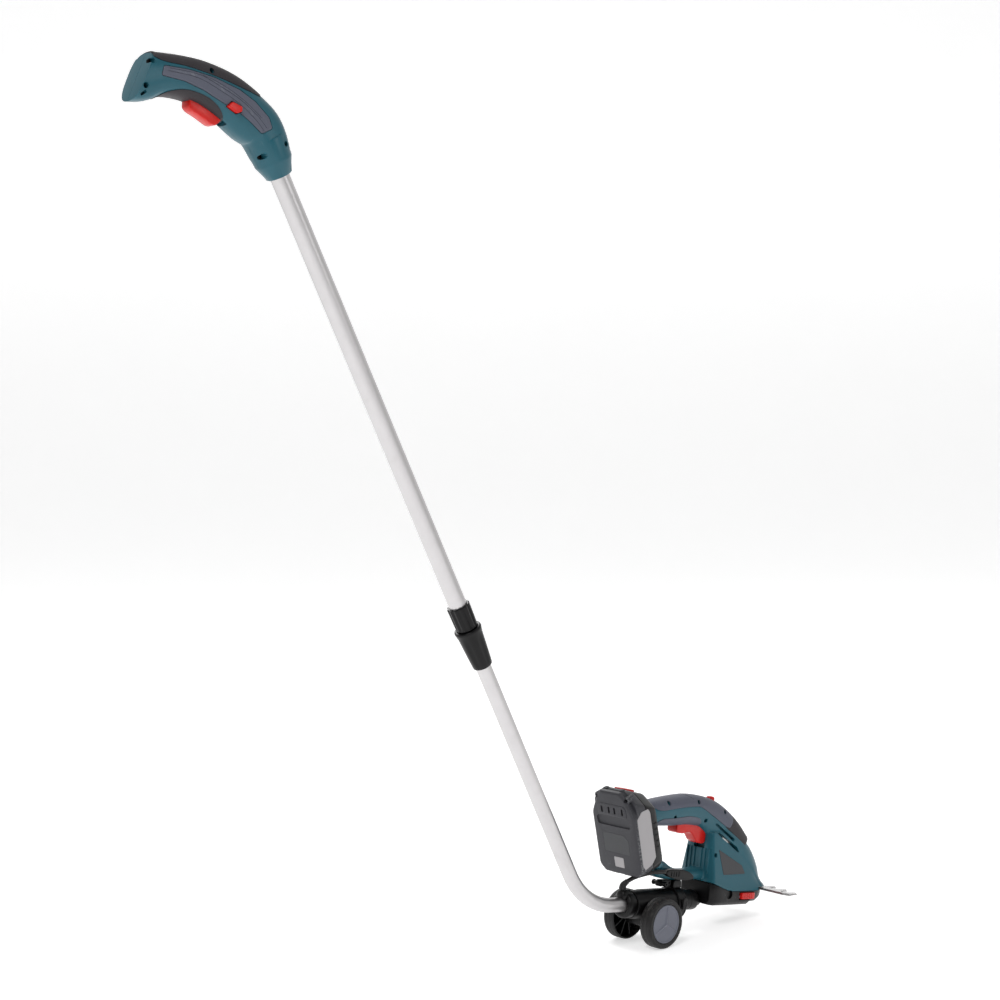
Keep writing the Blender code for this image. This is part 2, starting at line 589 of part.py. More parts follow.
def build_shear(tool, battery):
    build_shear_shells(tool, battery)
    grip = make("top_grip_shear", TOP_HANDLE.patch(0.0, 0.72, -58, 58, 2.2), "slate", tool)
    cut(grip, bpy.data.objects["cut_lock_off_way"])
    make("nose_strip", TOP_HANDLE.patch(0.728, 0.97, -50, 50, 1.6), "charcoal", tool)
    lower = make("lower_grip", TOP_HANDLE.patch(0.16, 0.5, 122, 238, 1.7), "slate", tool)
    cut(lower, bpy.data.objects["cut_shear_trigger_way"])

    sections = [(100, 18.3, 48.9, 32), (120, 18.3, 42.2, 32), (136, 18.3, 37.9, 31.5),
                (150, 18.3, 37.7, 31.5), (181, 18.3, 37.7, 31), (184, 21.8, 37.7, 31),
                (199, 22.3, 37.7, 29.5), (209, 26, 37.7, 26), (217, 31, 37.7, 20)]
    shoe = make("base_shoe", loft([shoe_ring(*section) for section in sections]), "black", tool)
    tongue_hole = rod("x", 9.4, 90, 106, (0, 0, BARREL_Z))
    shaft_hole = rod("z", 4, 20, 45, (BLADE_PIVOT_X, 0, 0))
    pockets = [block(158, 189.5, *sorted((sign * 24, sign * 40)), 25.7, 35.8) for sign in (-1, 1)]
    cut(shoe, helper("cut_shoe_holes", joined(tongue_hole, shaft_hole, *pockets), tool))
    for side, sign in (("right", -1), ("left", 1)):
        button = [(161, 26.8), (187.5, 26.8), (188.3, 27.6), (188.3, 34.6), (187.5, 35.3), (161, 35.3)]
        reach = sorted((sign * 28.2, sign * 34))
        make(f"blade_lock_{side}", prism(button, *reach), "red", tool,
             pivot=(175, sign * 31, 31), bevel=0.8, segments=1)
        plate = [(116, 92), (158, 71.5), (165, 61), (122, 60.5)]
        x_of = [(x, sign * (side_reach(z) + 0.4), z) for x, z in plate]
        x_out = [(x, sign * (side_reach(z) + 1.1), z) for x, z in plate]
        make(f"side_plate_{side}", loft([x_of, x_out]), "label", tool)

    make("motor", turned([(60, 0), (60, 16), (62, MOTOR_RADIUS), (108, MOTOR_RADIUS), (110, 6),
                          (112.5, 6), (112.5, 0)], 24, "z", (MOTOR_X, 0, 0)), "steel", tool)
    gear_x = MOTOR_X + GEAR_MODULE * (PINION_TEETH + GEAR_TEETH) / 2 + 1.0
    plate = make("gear_plate", block(117, 189, -20.5, 20.5, 56.2, 58.8), "steel", tool)
    cut(plate, helper("cut_shaft_hole", rod("z", 3.4, 50, 65, (MOTOR_X, 0, 0)), tool))
    pinion = make("motor_pinion", slab(gear_outline(PINION_TEETH, (MOTOR_X, 0)), GEAR_Z - 0.5,
                                       GEAR_Z + GEAR_THICK + 0.5), "steel", tool, pivot=(MOTOR_X, 0, 52))
    fuse(pinion, helper("pinion_shaft", rod("z", 2.5, 52, 59.6, (MOTOR_X, 0, 0)), tool))
    wheel = make("drive_gear", slab(gear_outline(GEAR_TEETH, (gear_x, 0), 0.5), GEAR_Z,
                                     GEAR_Z + GEAR_THICK),
                 "steel", tool, pivot=(gear_x, 0, 52))
    crank = helper("crank_disc", rod("z", 6, 40.5, 51, (gear_x + ECCENTRIC, 0, 0)), tool)
    spindle_hole = helper("cut_spindle_hole", rod("z", 3.3, 51.5, 60, (gear_x, 0, 0)), tool)
    cut(fuse(wheel, crank), spindle_hole)
    make("gear_spindle", rod("z", 3, 51.8, 55.9, (gear_x, 0, 0)), "steel", tool)

    low, top = BLADE_Z, BLADE_Z + BLADE_THICK + 0.3
    fixed = make("fixed_blade", slab(comb(24, TIP_X + 2, 2.6, 7.5, 22, 176), low, low + BLADE_THICK),
                 "steel", tool)
    moving = make("moving_blade", slab(comb(24, TIP_X, 1.8, 6.3, 17, 152), top, top + BLADE_THICK),
                  "steel", tool, pivot=(BLADE_PIVOT_X, 0, top))
    pivot_hole = helper("cut_pivot_hole", rod("z", 3.9, 30, 50, (BLADE_PIVOT_X, 0, 0)), tool)
    fork = helper("cut_fork", block(140, 182, -12.4, 12.4, 39, 45), tool)
    cut(fixed, pivot_hole)
    cut(moving, pivot_hole, fork)
    bolt = [(30, 0), (30, 3.5), (top + BLADE_THICK + GAP, 3.5), (top + BLADE_THICK + GAP, 6.5),
            (42.85, 6.5), (42.85, 0)]
    make("blade_pivot_bolt", turned(bolt, 16, "z", (BLADE_PIVOT_X, 0, 0)), "steel", tool)

    hook = [(39, 127), (39, 115.5), (42, 113.3), (53, 112.3), (60, 114), (67, 114.6), (73, 111.5),
            (78, 106), (81, 102.5), (88, 99.3), (97, 98.8), (101, 102), (103, 109), (97, 117.5),
            (88, 122.5), (80, 125), (60, 127), (50, 128)]
    make("shear_trigger", prism(hook, -8.8, 8.8), "red", tool, pivot=(44, 0, 126), bevel=1.5)
    make("shear_switch", block(58, 82, -8, 8, 133, 146), "black", tool)
    button = [(146, 0), (146, 5.8), (160.6, 5.8), (162, 4.6), (162, 0)]
    make("lock_off_button", turned(button, 16, "z", (112, 0, 0)), "red", tool, pivot=(112, 0, 155))


def pack_ring(x, shrink, top, shoulder, rise):
    """The battery's outline, seen from behind, at one depth, with bevelled shoulders."""
    h = BATTERY_HALF_WIDTH - shrink
    low, top = BATTERY_BOTTOM + shrink, top - shrink
    outline = [(-h, low + 8), (-h + 8, low), (h - 8, low), (h, low + 8), (h, top - shoulder),
               (h - 12, top - rise), (h - 19, top), (-h + 19, top), (-h + 12, top - rise),
               (-h, top - shoulder)]
    return [(x, y, z) for y, z in outline]


def build_battery(battery):
    rear, split, front = BATTERY_REAR, BATTERY_SPLIT, BATTERY_FRONT
    back_rings = [pack_ring(rear, 2.5, 187, 31, 7), pack_ring(rear + 2.5, 0, 187, 31, 7),
                  pack_ring(-21, 0, 188, 31, 7), pack_ring(-20, 0, 188, 17, 6),
                  pack_ring(-12, 0, 186, 17, 6), pack_ring(split, 0, 181.5, 17, 6)]
    back = make("battery_rear_case", loft(back_rings), "battery", battery)
    groove = block(rear - 5, rear + 3, -28, 28, 139, 152)
    cells_rear = block(split - 12, split + 5, -30, 30, 84, 160)
    release_way = helper("cut_release_way", block(-9.4, 9.4, -9.3, 9.3, 171, 200), battery)
    cut(back, helper("cut_rear_case", joined(groove, cells_rear), battery), release_way)
    nose_rings = [pack_ring(split + GAP, 0, 181.3, 17, 6), pack_ring(front - 6, 0, 173.4, 17, 6),
                  pack_ring(front, 5, 173, 17, 6)]
    nose = make("battery_front_case", loft(nose_rings), "black", battery)
    cells_front = block(split - 5, split + 10, -30, 30, 84, 160)
    cut(nose, helper("cut_front_case", cells_front, battery), release_way)
    make("battery_cells", block(split - 11.5, split + 9.5, -29.5, 29.5, 84.5, 159.5), "copper", battery)
    release = [(-8.8, 174.5), (8.8, 174.5), (8.8, 177.6), (7.8, 178.4), (-7.8, 185.6), (-8.8, 185)]
    make("battery_release", prism(release, -8.8, 8.8), "red", battery, pivot=(0, 0, 180), bevel=0.8)
    rail = make("battery_rail", block(19, 22, -15, 15, 66, 158), "black", battery)
    cut(rail, bpy.data.objects["cut_terminal_way"])
    make("terminal_block", block(19, 29.8, -11.8, 11.8, 90, 130), "black", battery)
    for side, sign in (("right", -1), ("left", 1)):
        sticker = [(-21, 90), (-18, 84), (-7, 85), (2, 92), (2.5, 153), (0, 159), (-12, 159),
                   (-21, 151)]
        reach = sorted((sign * (BATTERY_HALF_WIDTH + 0.3), sign * (BATTERY_HALF_WIDTH + 0.8)))
        make(f"battery_sticker_{side}", prism(sticker, *reach), "label", battery)


def build_cable(tool):
    plug = [(14, 59.5), (14.5, 67), (36, 67), (56, 65), (66, 60.5), (69, 56), (66, 53), (52, 52.5),
            (34, 54), (22, 57)]
    make("cable_plug", prism(plug, -21.5, -14.6), "black", tool, bevel=1.5)
    route = [(-46.5, 0, 39.9), (-47.5, -1.5, 44.5), (-43.5, -4.5, 50), (-35, -7.5, 55),
             (-24, -11, 59), (-12, -14.5, 62), (1, -17, 63.5), (13.6, -18, 63.6)]
    curve = bpy.data.curves.new("control_cable", "CURVE")
    curve.dimensions = "3D"
    curve.bevel_depth = 2.75 * MM
    curve.bevel_resolution = 2
    curve.use_fill_caps = True
    line = curve.splines.new("POLY")
    points = smooth_line(route, 2)
    line.points.add(len(points) - 1)
    for spot, point in zip(line.points, points):
        spot.co = (*(Vector(point) * MM), 1)
    curve.materials.append(material("rubber"))
    cable = bpy.data.objects.new("control_cable", curve)
    bpy.context.scene.collection.objects.link(cable)
    cable.parent = tool


def smooth_line(points, per_span):
    """A smooth curve through the points, with a few steps between each two."""
    ends = [points[0], *points, points[-1]]
    line = []
    for a, b, c, d in zip(ends, ends[1:], ends[2:], ends[3:]):
        for i in range(per_span):
            f = i / per_span
            line.append(tuple(0.5 * (2 * q + (r - p) * f + (2 * p - 5 * q + 4 * r - s) * f ** 2
                                     + (3 * q - p - 3 * r + s) * f ** 3)
                              for p, q, r, s in zip(a, b, c, d)))
    return line + [points[-1]]


def main():
    clear_scene()
    ground = frame("ground_frame", AXLE_X, 0)
    tool = frame("tool_frame", 0, WHEEL_RADIUS, TOOL_PITCH, ground)
    battery = frame("battery_frame", 0, 0, -BATTERY_LEAN, tool)
    pole = frame("pole_frame", POLE_FOOT[0], POLE_FOOT[1], -POLE_LEAN, ground)
    build_trolley(tool)
    build_wheels(tool)
    build_pole(ground, pole)
    build_handle(ground, pole)
    build_shear(tool, battery)
    build_battery(battery)
    build_cable(tool)


main()
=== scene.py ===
"""Looks of a battery grass shear on a two-wheeled trolley, with a telescopic pole and a trigger handle.

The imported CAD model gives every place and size. Each sub-assembly below is a class that models its
visible pieces over the CAD solids, dresses them and sets them on the body they move with.
Local sizes are in millimetres, drawn in the frames of the `Places` class.
"""
from __future__ import annotations

import logging
import math
from collections.abc import Callable, Sequence
from dataclasses import dataclass
from enum import Enum

import bmesh
import bpy
from mathutils import Matrix, Vector


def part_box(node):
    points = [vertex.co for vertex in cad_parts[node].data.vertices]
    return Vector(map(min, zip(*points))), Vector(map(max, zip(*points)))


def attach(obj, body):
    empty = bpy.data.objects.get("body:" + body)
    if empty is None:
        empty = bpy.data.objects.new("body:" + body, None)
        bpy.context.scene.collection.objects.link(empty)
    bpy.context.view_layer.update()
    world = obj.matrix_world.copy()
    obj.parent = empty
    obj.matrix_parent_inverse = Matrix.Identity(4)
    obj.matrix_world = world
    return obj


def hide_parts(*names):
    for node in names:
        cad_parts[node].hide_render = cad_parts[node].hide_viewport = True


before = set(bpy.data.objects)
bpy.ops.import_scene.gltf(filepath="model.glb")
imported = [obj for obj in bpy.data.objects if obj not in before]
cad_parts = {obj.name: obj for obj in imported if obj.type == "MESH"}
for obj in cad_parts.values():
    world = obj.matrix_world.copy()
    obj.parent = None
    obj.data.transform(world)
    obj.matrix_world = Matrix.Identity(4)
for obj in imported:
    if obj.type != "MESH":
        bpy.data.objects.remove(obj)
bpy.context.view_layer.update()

LOG = logging.getLogger("grass_shear")
MM = 0.001
FULL_TURN = 2 * math.pi
SIDES = ((-1, "right"), (1, "left"))
PARTING = 0.12
BARREL_UP = 18.7

Pair = tuple[float, float]
Triple = tuple[float, float, float]
Outline = Sequence[Pair]
Thing = bpy.types.Object
Tree = bpy.types.NodeTree
Socket = bpy.types.NodeSocket


# ---------------------------------------------------------------- places

class Axis(Enum):
    """The direction a flat outline is pulled along, or a profile is turned about."""

    X = (1, 0, 0)
    Y = (0, 1, 0)
    Z = (0, 0, 1)

    def point(self, along: float, across: float, up: float) -> Vector:
        """Gives the point at `along` on this axis, in metres from millimetres.

        Args:
            along: Distance on this axis.
            across: Distance on the first of the two other axes, in X, Y, Z order.
            up: Distance on the second of the two other axes.

        Returns:
            The point as a vector in metres.
        """
        order = {"X": (along, across, up), "Y": (across, along, up), "Z": (across, up, along)}
        return Vector(order[self.name]) * MM


@dataclass(frozen=True)
class Places:
    """The frames that the pieces are drawn in, worked out from the CAD's axle."""

    tool_pitch: float = 9.0
    battery_lean: float = 20.8
    pole_lean: float = 28.04
    pole_foot: Pair = (-287.5, 396.0)

    @property
    def axle(self) -> Vector:
        """The middle of the wheel axle."""
        low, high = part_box("axle")
        return (low + high) / 2

    @property
    def ground(self) -> Matrix:
        """Frame on the floor under the axle."""
        return Matrix.Translation((self.axle.x, 0, 0))

    @property
    def tool(self) -> Matrix:
        """Frame of the trolley and the shear, leaning nose down about the axle."""
        return Matrix.Translation(self.axle) @ Matrix.Rotation(math.radians(self.tool_pitch), 4, "Y")

    @property
    def battery(self) -> Matrix:
        """Frame of the battery, leaning back in the tool frame."""
        return self.tool @ Matrix.Rotation(math.radians(-self.battery_lean), 4, "Y")

    @property
    def pole(self) -> Matrix:
        """Frame whose Z runs up the pole from the foot of the twist nut."""
        foot = Matrix.Translation((self.pole_foot[0] * MM, 0, self.pole_foot[1] * MM))
        return self.ground @ foot @ Matrix.Rotation(math.radians(-self.pole_lean), 4, "Y")


PLACES = Places()


# ---------------------------------------------------------------- modelling bench

def choose(thing: Thing | None = None) -> None:
    """Leaves edit mode and makes one object, or none, the selected and active one."""
    if bpy.context.mode != "OBJECT":
        bpy.ops.object.mode_set(mode="OBJECT")
    bpy.ops.object.select_all(action="DESELECT")
    if thing:
        thing.select_set(True)
        bpy.context.view_layer.objects.active = thing


def tidy_mesh(merge: bool = True) -> None:
    """Merges doubled points of the mesh in edit mode, turns its faces outwards and leaves edit mode."""
    bpy.ops.mesh.select_all(action="SELECT")
    if merge:
        bpy.ops.mesh.remove_doubles(threshold=1e-6)
    bpy.ops.mesh.normals_make_consistent(inside=False)
    bpy.ops.object.mode_set(mode="OBJECT")


def trace(name: str, points: Sequence[Vector]) -> Thing:
    """Draws a wire by extruding one vertex from point to point, and stays in edit mode.

    Args:
        name: Name of the new object.
        points: The wire's points in metres.

    Returns:
        The object, in edit mode with its last vertex selected.
    """
    choose()
    bpy.ops.mesh.primitive_plane_add(size=MM, location=points[0])
    wire = bpy.context.object
    wire.name = name
    bpy.ops.object.transform_apply()
    bpy.ops.object.mode_set(mode="EDIT")
    bpy.ops.mesh.select_all(action="SELECT")
    bpy.ops.mesh.merge(type="CENTER")
    for here, there in zip(points, points[1:]):
        bpy.ops.mesh.extrude_vertices_move(TRANSFORM_OT_translate={"value": there - here})
    return wire


def turned(name: str, profile: Outline, axis: Axis, centre: Triple = (0, 0, 0), steps: int = 96) -> Thing:
    """Spins a profile about an axis.

    Args:
        name: Name of the piece.
        profile: (along, radius) points; a ring repeats none, a solid starts and ends at radius 0.
        axis: The axis it turns about.
        centre: A point on the axis, in millimetres.
        steps: Number of steps in the turn.

    Returns:
        The turned piece.
    """
    middle = Vector(centre) * MM
    solid = profile[0][1] == 0 and profile[-1][1] == 0
    loop = list(profile) if solid else [*profile, profile[0]]
    thing = trace(name, [middle + axis.point(along, radius, 0) for along, radius in loop])
    bpy.ops.mesh.select_all(action="SELECT")
    bpy.ops.mesh.spin(steps=steps, angle=FULL_TURN, center=middle, axis=axis.value)
    tidy_mesh()
    return thing


def pulled(name: str, outline: Outline, start: float, end: float, axis: Axis) -> Thing:
    """Fills an outline and extrudes it along an axis.

    Args:
        name: Name of the piece.
        outline: Points on the two other axes, in X, Y, Z order.
        start: Where it starts on the axis.
        end: Where it ends.
        axis: The axis it is pulled along.

    Returns:
        The prism.
    """
    thing = trace(name, [axis.point(start, a, b) for a, b in [*outline, outline[0]]])
    bpy.ops.mesh.select_all(action="SELECT")
    bpy.ops.mesh.remove_doubles(threshold=1e-6)
    bpy.ops.mesh.edge_face_add()
    bpy.ops.mesh.extrude_region_move(TRANSFORM_OT_translate={"value": axis.point(end - start, 0, 0)})
    tidy_mesh(merge=False)
    return thing


def lofted(name: str, rings: Sequence[Sequence[Vector]]) -> Thing:
    """Extrudes a filled circle from ring to ring, and sets each ring's points in place.

    Args:
        name: Name of the piece.
        rings: Rings with equal numbers of points, in metres.

    Returns:
        The closed body.
    """
    choose()
    bpy.ops.mesh.primitive_circle_add(vertices=len(rings[0]), radius=1.0, fill_type="NGON")
    thing = bpy.context.object
    thing.name = name
    bpy.ops.object.mode_set(mode="EDIT")
    net = bmesh.from_edit_mesh(thing.data)
    order = net.verts.layers.int.new("ring_order")
    for place, vert in enumerate(net.verts):
        vert[order] = place
        vert.co = rings[0][place]
    for ring in rings[1:]:
        bpy.ops.mesh.extrude_region_move()
        net = bmesh.from_edit_mesh(thing.data)
        order = net.verts.layers.int["ring_order"]
        for vert in net.verts:
            if vert.select:
                vert.co = ring[vert[order]]
    tidy_mesh()
    thing.data.attributes.remove(thing.data.attributes["ring_order"])
    return thing


def block(name: str, low: Triple, high: Triple) -> Thing:
    """Adds a box between two corners, as a cutter or a start for a bevelled piece."""
    outline = [(low[0], low[1]), (high[0], low[1]), (high[0], high[1]), (low[0], high[1])]
    return pulled(name, outline, low[2], high[2], Axis.Z)


def rod(name: str, radius: float, start: float, end: float, axis: Axis, centre: Triple,
        steps: int = 40) -> Thing:
    """Turns a plain round bar, for pins and drilled holes."""
    return turned(name, [(start, 0), (start, radius), (end, radius), (end, 0)], axis, centre, steps)


def apply_all(thing: Thing) -> Thing:
    """Applies every modifier of an object in order."""
    choose(thing)
    for modifier in list(thing.modifiers):
        bpy.ops.object.modifier_apply(modifier=modifier.name)
    return thing


class Join(Enum):
    """How one solid acts on another."""

    CUT = "DIFFERENCE"
    ADD = "UNION"
    KEEP = "INTERSECT"


def combine(thing: Thing, how: Join, *others: Thing, keep: bool = False) -> Thing:
    """Applies Boolean modifiers and removes the other solids.

    Args:
        thing: The solid that is changed.
        how: Cut, add or keep only what is shared.
        *others: The solids that act on it.
        keep: Leaves the other solids in place for another use.

    Returns:
        The changed solid.
    """
    for other in others:
        modifier = thing.modifiers.new(other.name, "BOOLEAN")
        modifier.operation = how.value
        modifier.solver = "MANIFOLD"
        modifier.object = other
        apply_all(thing)
        if not keep:
            bpy.data.objects.remove(other)
    return thing


def soften(thing: Thing, width: float, segments: int = 3, angle: float = 35.0) -> Thing:
    """Rounds the edges sharper than an angle, by a width in millimetres."""
    rounding = thing.modifiers.new("rounding", "BEVEL")
    rounding.width = width * MM
    rounding.segments = segments
    rounding.limit_method = "ANGLE"
    rounding.angle_limit = math.radians(angle)
    rounding.use_clamp_overlap = True
    return apply_all(thing)


def melt(thing: Thing, voxel: float, passes: int) -> Thing:
    """Remeshes joined forms into one skin and smooths it, so that they flow into each other.

    Args:
        thing: The joined solid.
        voxel: Size of the new mesh, in millimetres.
        passes: How often the skin is smoothed.

    Returns:
        The same object with its new mesh.
    """
    skin = thing.modifiers.new("skin", "REMESH")
    skin.mode = "VOXEL"
    skin.voxel_size = voxel * MM
    smooth = thing.modifiers.new("flow", "SMOOTH")
    smooth.factor = 0.5
    smooth.iterations = passes
    return apply_all(thing)


def copy_of(thing: Thing, name: str) -> Thing:
    """Copies an object with a mesh of its own."""
    twin = thing.copy()
    twin.data = thing.data.copy()
    twin.name = name
    bpy.context.scene.collection.objects.link(twin)
    return twin


def rounded(outline: Outline, radius: float, steps: int = 4) -> list[Pair]:
    """Rounds the corners of a closed outline with short curves.

    Args:
        outline: The corners.
        radius: How far from each corner the curve starts.
        steps: Points on each curve.

    Returns:
        The rounded outline.
    """
    result: list[Pair] = []
    for i, corner in enumerate(outline):
        here = Vector(corner)
        before, after = Vector(outline[i - 1]), Vector(outline[(i + 1) % len(outline)])
        start = here + (before - here).normalized() * min(radius, (before - here).length * 0.45)
        end = here + (after - here).normalized() * min(radius, (after - here).length * 0.45)
        for k in range(steps + 1):
            t = k / steps
            result.append(tuple(start * (1 - t) ** 2 + here * 2 * t * (1 - t) + end * t ** 2))
    return result


def spread(outline: Outline, by: float) -> list[Pair]:
    """Moves a closed outline outwards, or inwards if the distance is negative, along its own normals.

    Args:
        outline: The outline's points.
        by: How far each point moves.

    Returns:
        The moved outline.
    """
    around = list(outline)
    pairs = zip(around, [*around[1:], around[0]])
    turn = math.copysign(1.0, sum(a[0] * b[1] - b[0] * a[1] for a, b in pairs))
    moved = []
    for i, here in enumerate(around):
        before, after = Vector(around[i - 1]), Vector(around[(i + 1) % len(around)])
        along = (after - before).normalized() * turn
        moved.append((here[0] + along.y * by, here[1] - along.x * by))
    return moved


def flowing(points: Sequence[Sequence[float]], steps: int) -> list[tuple[float, ...]]:
    """Gives a smooth open line through points of any size, with steps between each two."""
    ends = [points[0], *points, points[-1]]
    line = []
    for a, b, c, d in zip(ends, ends[1:], ends[2:], ends[3:]):
        for k in range(steps):
            f = k / steps
            line.append(tuple(0.5 * (2 * q + (r - p) * f + (2 * p - 5 * q + 4 * r - s) * f ** 2
                                     + (3 * q - p - 3 * r + s) * f ** 3)
                              for p, q, r, s in zip(a, b, c, d)))
    return [*line, tuple(points[-1])]


def split_halves(shell: Thing, name: str) -> list[tuple[str, Thing]]:
    """Cuts a closed shell along the middle plane into a right and a left half, and removes it.

    Args:
        shell: The whole shell.
        name: Name of the halves, without their side.

    Returns:
        The side's name and the half, for each side.
    """
    halves = []
    for face, side in SIDES:
        half = copy_of(shell, f"{name}_{side}")
        choose(half)
        bpy.ops.object.mode_set(mode="EDIT")
        bpy.ops.mesh.select_all(action="SELECT")
        bpy.ops.mesh.bisect(plane_co=(0, face * PARTING * MM, 0), plane_no=(0, face, 0), use_fill=True,
                            clear_inner=True)
        tidy_mesh()
        halves.append((side, half))
    bpy.data.objects.remove(shell)
    return halves


def cross_screw(name: str, spot: Triple, head: Pair, cross: Triple) -> Thing:
    """Turns a recessed screw head that faces right, and cuts its cross.

    Args:
        name: Name of the screw.
        spot: Where it is from the side, and how far its seat lies from the middle plane.
        head: The head's radius, and how far it stands out from its seat.
        cross: Half the cross's length, half its width, and how far its floor is from the seat.

    Returns:
        The screw.
    """
    x, z, deep = spot
    radius, high = head
    long, wide, floor = cross
    outline = [(-deep - high, 0), (-deep - high + 0.2, 1.2), (-deep - high + 0.9, radius),
               (-deep + 0.4, radius), (-deep + 0.4, 0)]
    screw = turned(name, outline, Axis.Y, (x, 0, z), 32)
    for across, up in ((long, wide), (wide, long)):
        slot = block("cross", (x - across, -deep - 4, z - up), (x + across, -deep - floor, z + up))
        combine(screw, Join.CUT, slot)
    return screw


@dataclass(frozen=True)
class Spine:
    """A body swept along a curved line in the xz plane, with a squarish oval section.

    Each station is (x, z, half depth, half width)."""

    stations: tuple[tuple[float, float, float, float], ...]
    square: float = 2.6
    steps: int = 7
    around: int = 56

    def body(self, name: str, offset: float = 0.0) -> Thing:
        """Lofts the body, grown by an offset.

        Args:
            name: Name of the solid.
            offset: How far outside the plain body its skin lies, in millimetres.

        Returns:
            The closed solid.
        """
        line = flowing(self.stations, self.steps)
        rings = []
        for i, (x, z, depth, width) in enumerate(line):
            low, high = line[max(i - 1, 0)], line[min(i + 1, len(line) - 1)]
            along = Vector((high[0] - low[0], high[1] - low[1])).normalized()
            ring = []
            for j in range(self.around):
                a = FULL_TURN * j / self.around
                n = (depth + offset) * math.copysign(abs(math.cos(a)) ** (2 / self.square), math.cos(a))
                y = (width + offset) * math.copysign(abs(math.sin(a)) ** (2 / self.square), math.sin(a))
                ring.append(Vector((x - n * along.y, y, z + n * along.x)) * MM)
            rings.append(ring)
        return lofted(name, rings)


@dataclass(frozen=True)
class Inlay:
    """A moulded skin let into a body: its outline from the side, how far it rises and how deep it sits."""

    name: str
    outline: Outline
    near: float
    far: float
    rise: float = 0.5
    sink: float = 1.0
    gap: float = 0.4

    def fit(self, spine: Spine, shell: Thing) -> Thing:
        """Makes the inlay from the body's own skin and cuts its seat out of the shell.

        Args:
            spine: The body that it follows.
            shell: The visible shell, which is cut.

        Returns:
            The inlay.
        """
        skin = spine.body(self.name, self.rise)
        combine(skin, Join.KEEP, pulled("form", self.outline, self.near, self.far, Axis.Y))
        combine(skin, Join.CUT, spine.body("core", -self.sink))
        soften(skin, 0.35, segments=2, angle=50)
        seat = spine.body("seat", self.rise + 3)
        grown = spread(self.outline, self.gap)
        combine(seat, Join.KEEP, pulled("form", grown, self.near - self.gap, self.far + self.gap, Axis.Y))
        combine(seat, Join.CUT, spine.body("core", -self.sink - 0.2))
        combine(shell, Join.CUT, seat)
        return skin


# ---------------------------------------------------------------- shader groups

class Wiring:
    """Adds and joins the nodes of one tree in few words."""

    def __init__(self, tree: Tree) -> None:
        """Takes the tree that the nodes go into."""
        self.tree = tree

    def add(self, kind: str, **settings: object) -> bpy.types.Node:
        """Adds a node.

        Args:
            kind: The node's type name, such as "TexNoise", without "ShaderNode".
            **settings: Node properties, and socket values under their names with underscores.

        Returns:
            The node.
        """
        node = self.tree.nodes.new(f"ShaderNode{kind}")
        for name, value in settings.items():
            if hasattr(node, name):
                setattr(node, name, value)
            else:
                node.inputs[name.replace("_", " ")].default_value = value
        return node

    def join(self, source: Socket, target: Socket) -> None:
        """Links one socket to another."""
        self.tree.links.new(source, target)

    def maths(self, operation: str, first: Socket, second: Socket | float = 0.0) -> Socket:
        """Adds a Math node and gives its result.

        Args:
            operation: The Math node's operation.
            first: First value.
            second: Second value, a socket or a number.

        Returns:
            The result's socket.
        """
        node = self.add("Math", operation=operation)
        self.join(first, node.inputs[0])
        if isinstance(second, (int, float)):
            node.inputs[1].default_value = second
        else:
            self.join(second, node.inputs[1])
        return node.outputs[0]

    def fade(self, value: Socket, low: float, high: float) -> Socket:
        """Maps a value between two limits to 0 and 1, smoothly."""
        node = self.add("MapRange", interpolation_type="SMOOTHSTEP", From_Min=low, From_Max=high)
        self.join(value, node.inputs["Value"])
        return node.outputs["Result"]


class Effect:
    """A shader node group that several finishes use."""

    title = "effect"
    inputs: tuple[tuple[str, str, float], ...] = ()
    outputs: tuple[tuple[str, str], ...] = ()

    def group(self) -> Tree:
        """Gives the group, which is built at its first use."""
        found = bpy.data.node_groups.get(self.title)
        if found:
            return found
        tree = bpy.data.node_groups.new(self.title, "ShaderNodeTree")
        for name, kind, default in self.inputs:
            socket = tree.interface.new_socket(name, in_out="INPUT", socket_type=f"NodeSocket{kind}")
            if kind == "Float":
                socket.default_value = default
        for name, kind in self.outputs:
            tree.interface.new_socket(name, in_out="OUTPUT", socket_type=f"NodeSocket{kind}")
        wiring = Wiring(tree)
        self.wire(wiring, tree.nodes.new("NodeGroupInput"), tree.nodes.new("NodeGroupOutput"))
        return tree

    def wire(self, w: Wiring, start: bpy.types.Node, end: bpy.types.Node) -> None:
        """Builds the effect between the group's input and output nodes."""
        raise NotImplementedError

    def place(self, w: Wiring, **values: object) -> bpy.types.Node:
        """Puts the group in a material.

        Args:
            w: The material's wiring.
            **values: A number, colour or socket for each named input.

        Returns:
            The group's node.
        """
        node = w.tree.nodes.new("ShaderNodeGroup")
        node.node_tree = self.group()
        for name, value in values.items():
            if isinstance(value, bpy.types.NodeSocket):
                w.join(value, node.inputs[name])
            else:
                node.inputs[name].default_value = value
        return node


class ColourDrift(Effect):
    """Slow light and dark clouds in a colour, as in moulded plastic and rubber."""

    title = "colour_drift"
    inputs = (("Colour", "Color", 0), ("Amount", "Float", 0.06), ("Scale", "Float", 28.0))
    outputs = (("Colour", "Color"),)

    def wire(self, w: Wiring, start: bpy.types.Node, end: bpy.types.Node) -> None:
        """Brightens and darkens the colour with two sizes of noise."""
        place = w.add("TexCoord").outputs["Object"]
        cloud = w.add("TexNoise", Detail=5.0, Roughness=0.62)
        w.join(place, cloud.inputs["Vector"])
        w.join(start.outputs["Scale"], cloud.inputs["Scale"])
        swing = w.maths("SUBTRACT", cloud.outputs["Fac"], 0.5)
        swing = w.maths("MULTIPLY", swing, start.outputs["Amount"])
        light = w.maths("ADD", w.maths("MULTIPLY", swing, 4.0), 1.0)
        tone = w.add("HueSaturation")
        w.join(start.outputs["Colour"], tone.inputs["Color"])
        w.join(light, tone.inputs["Value"])
        w.join(tone.outputs["Color"], end.inputs["Colour"])


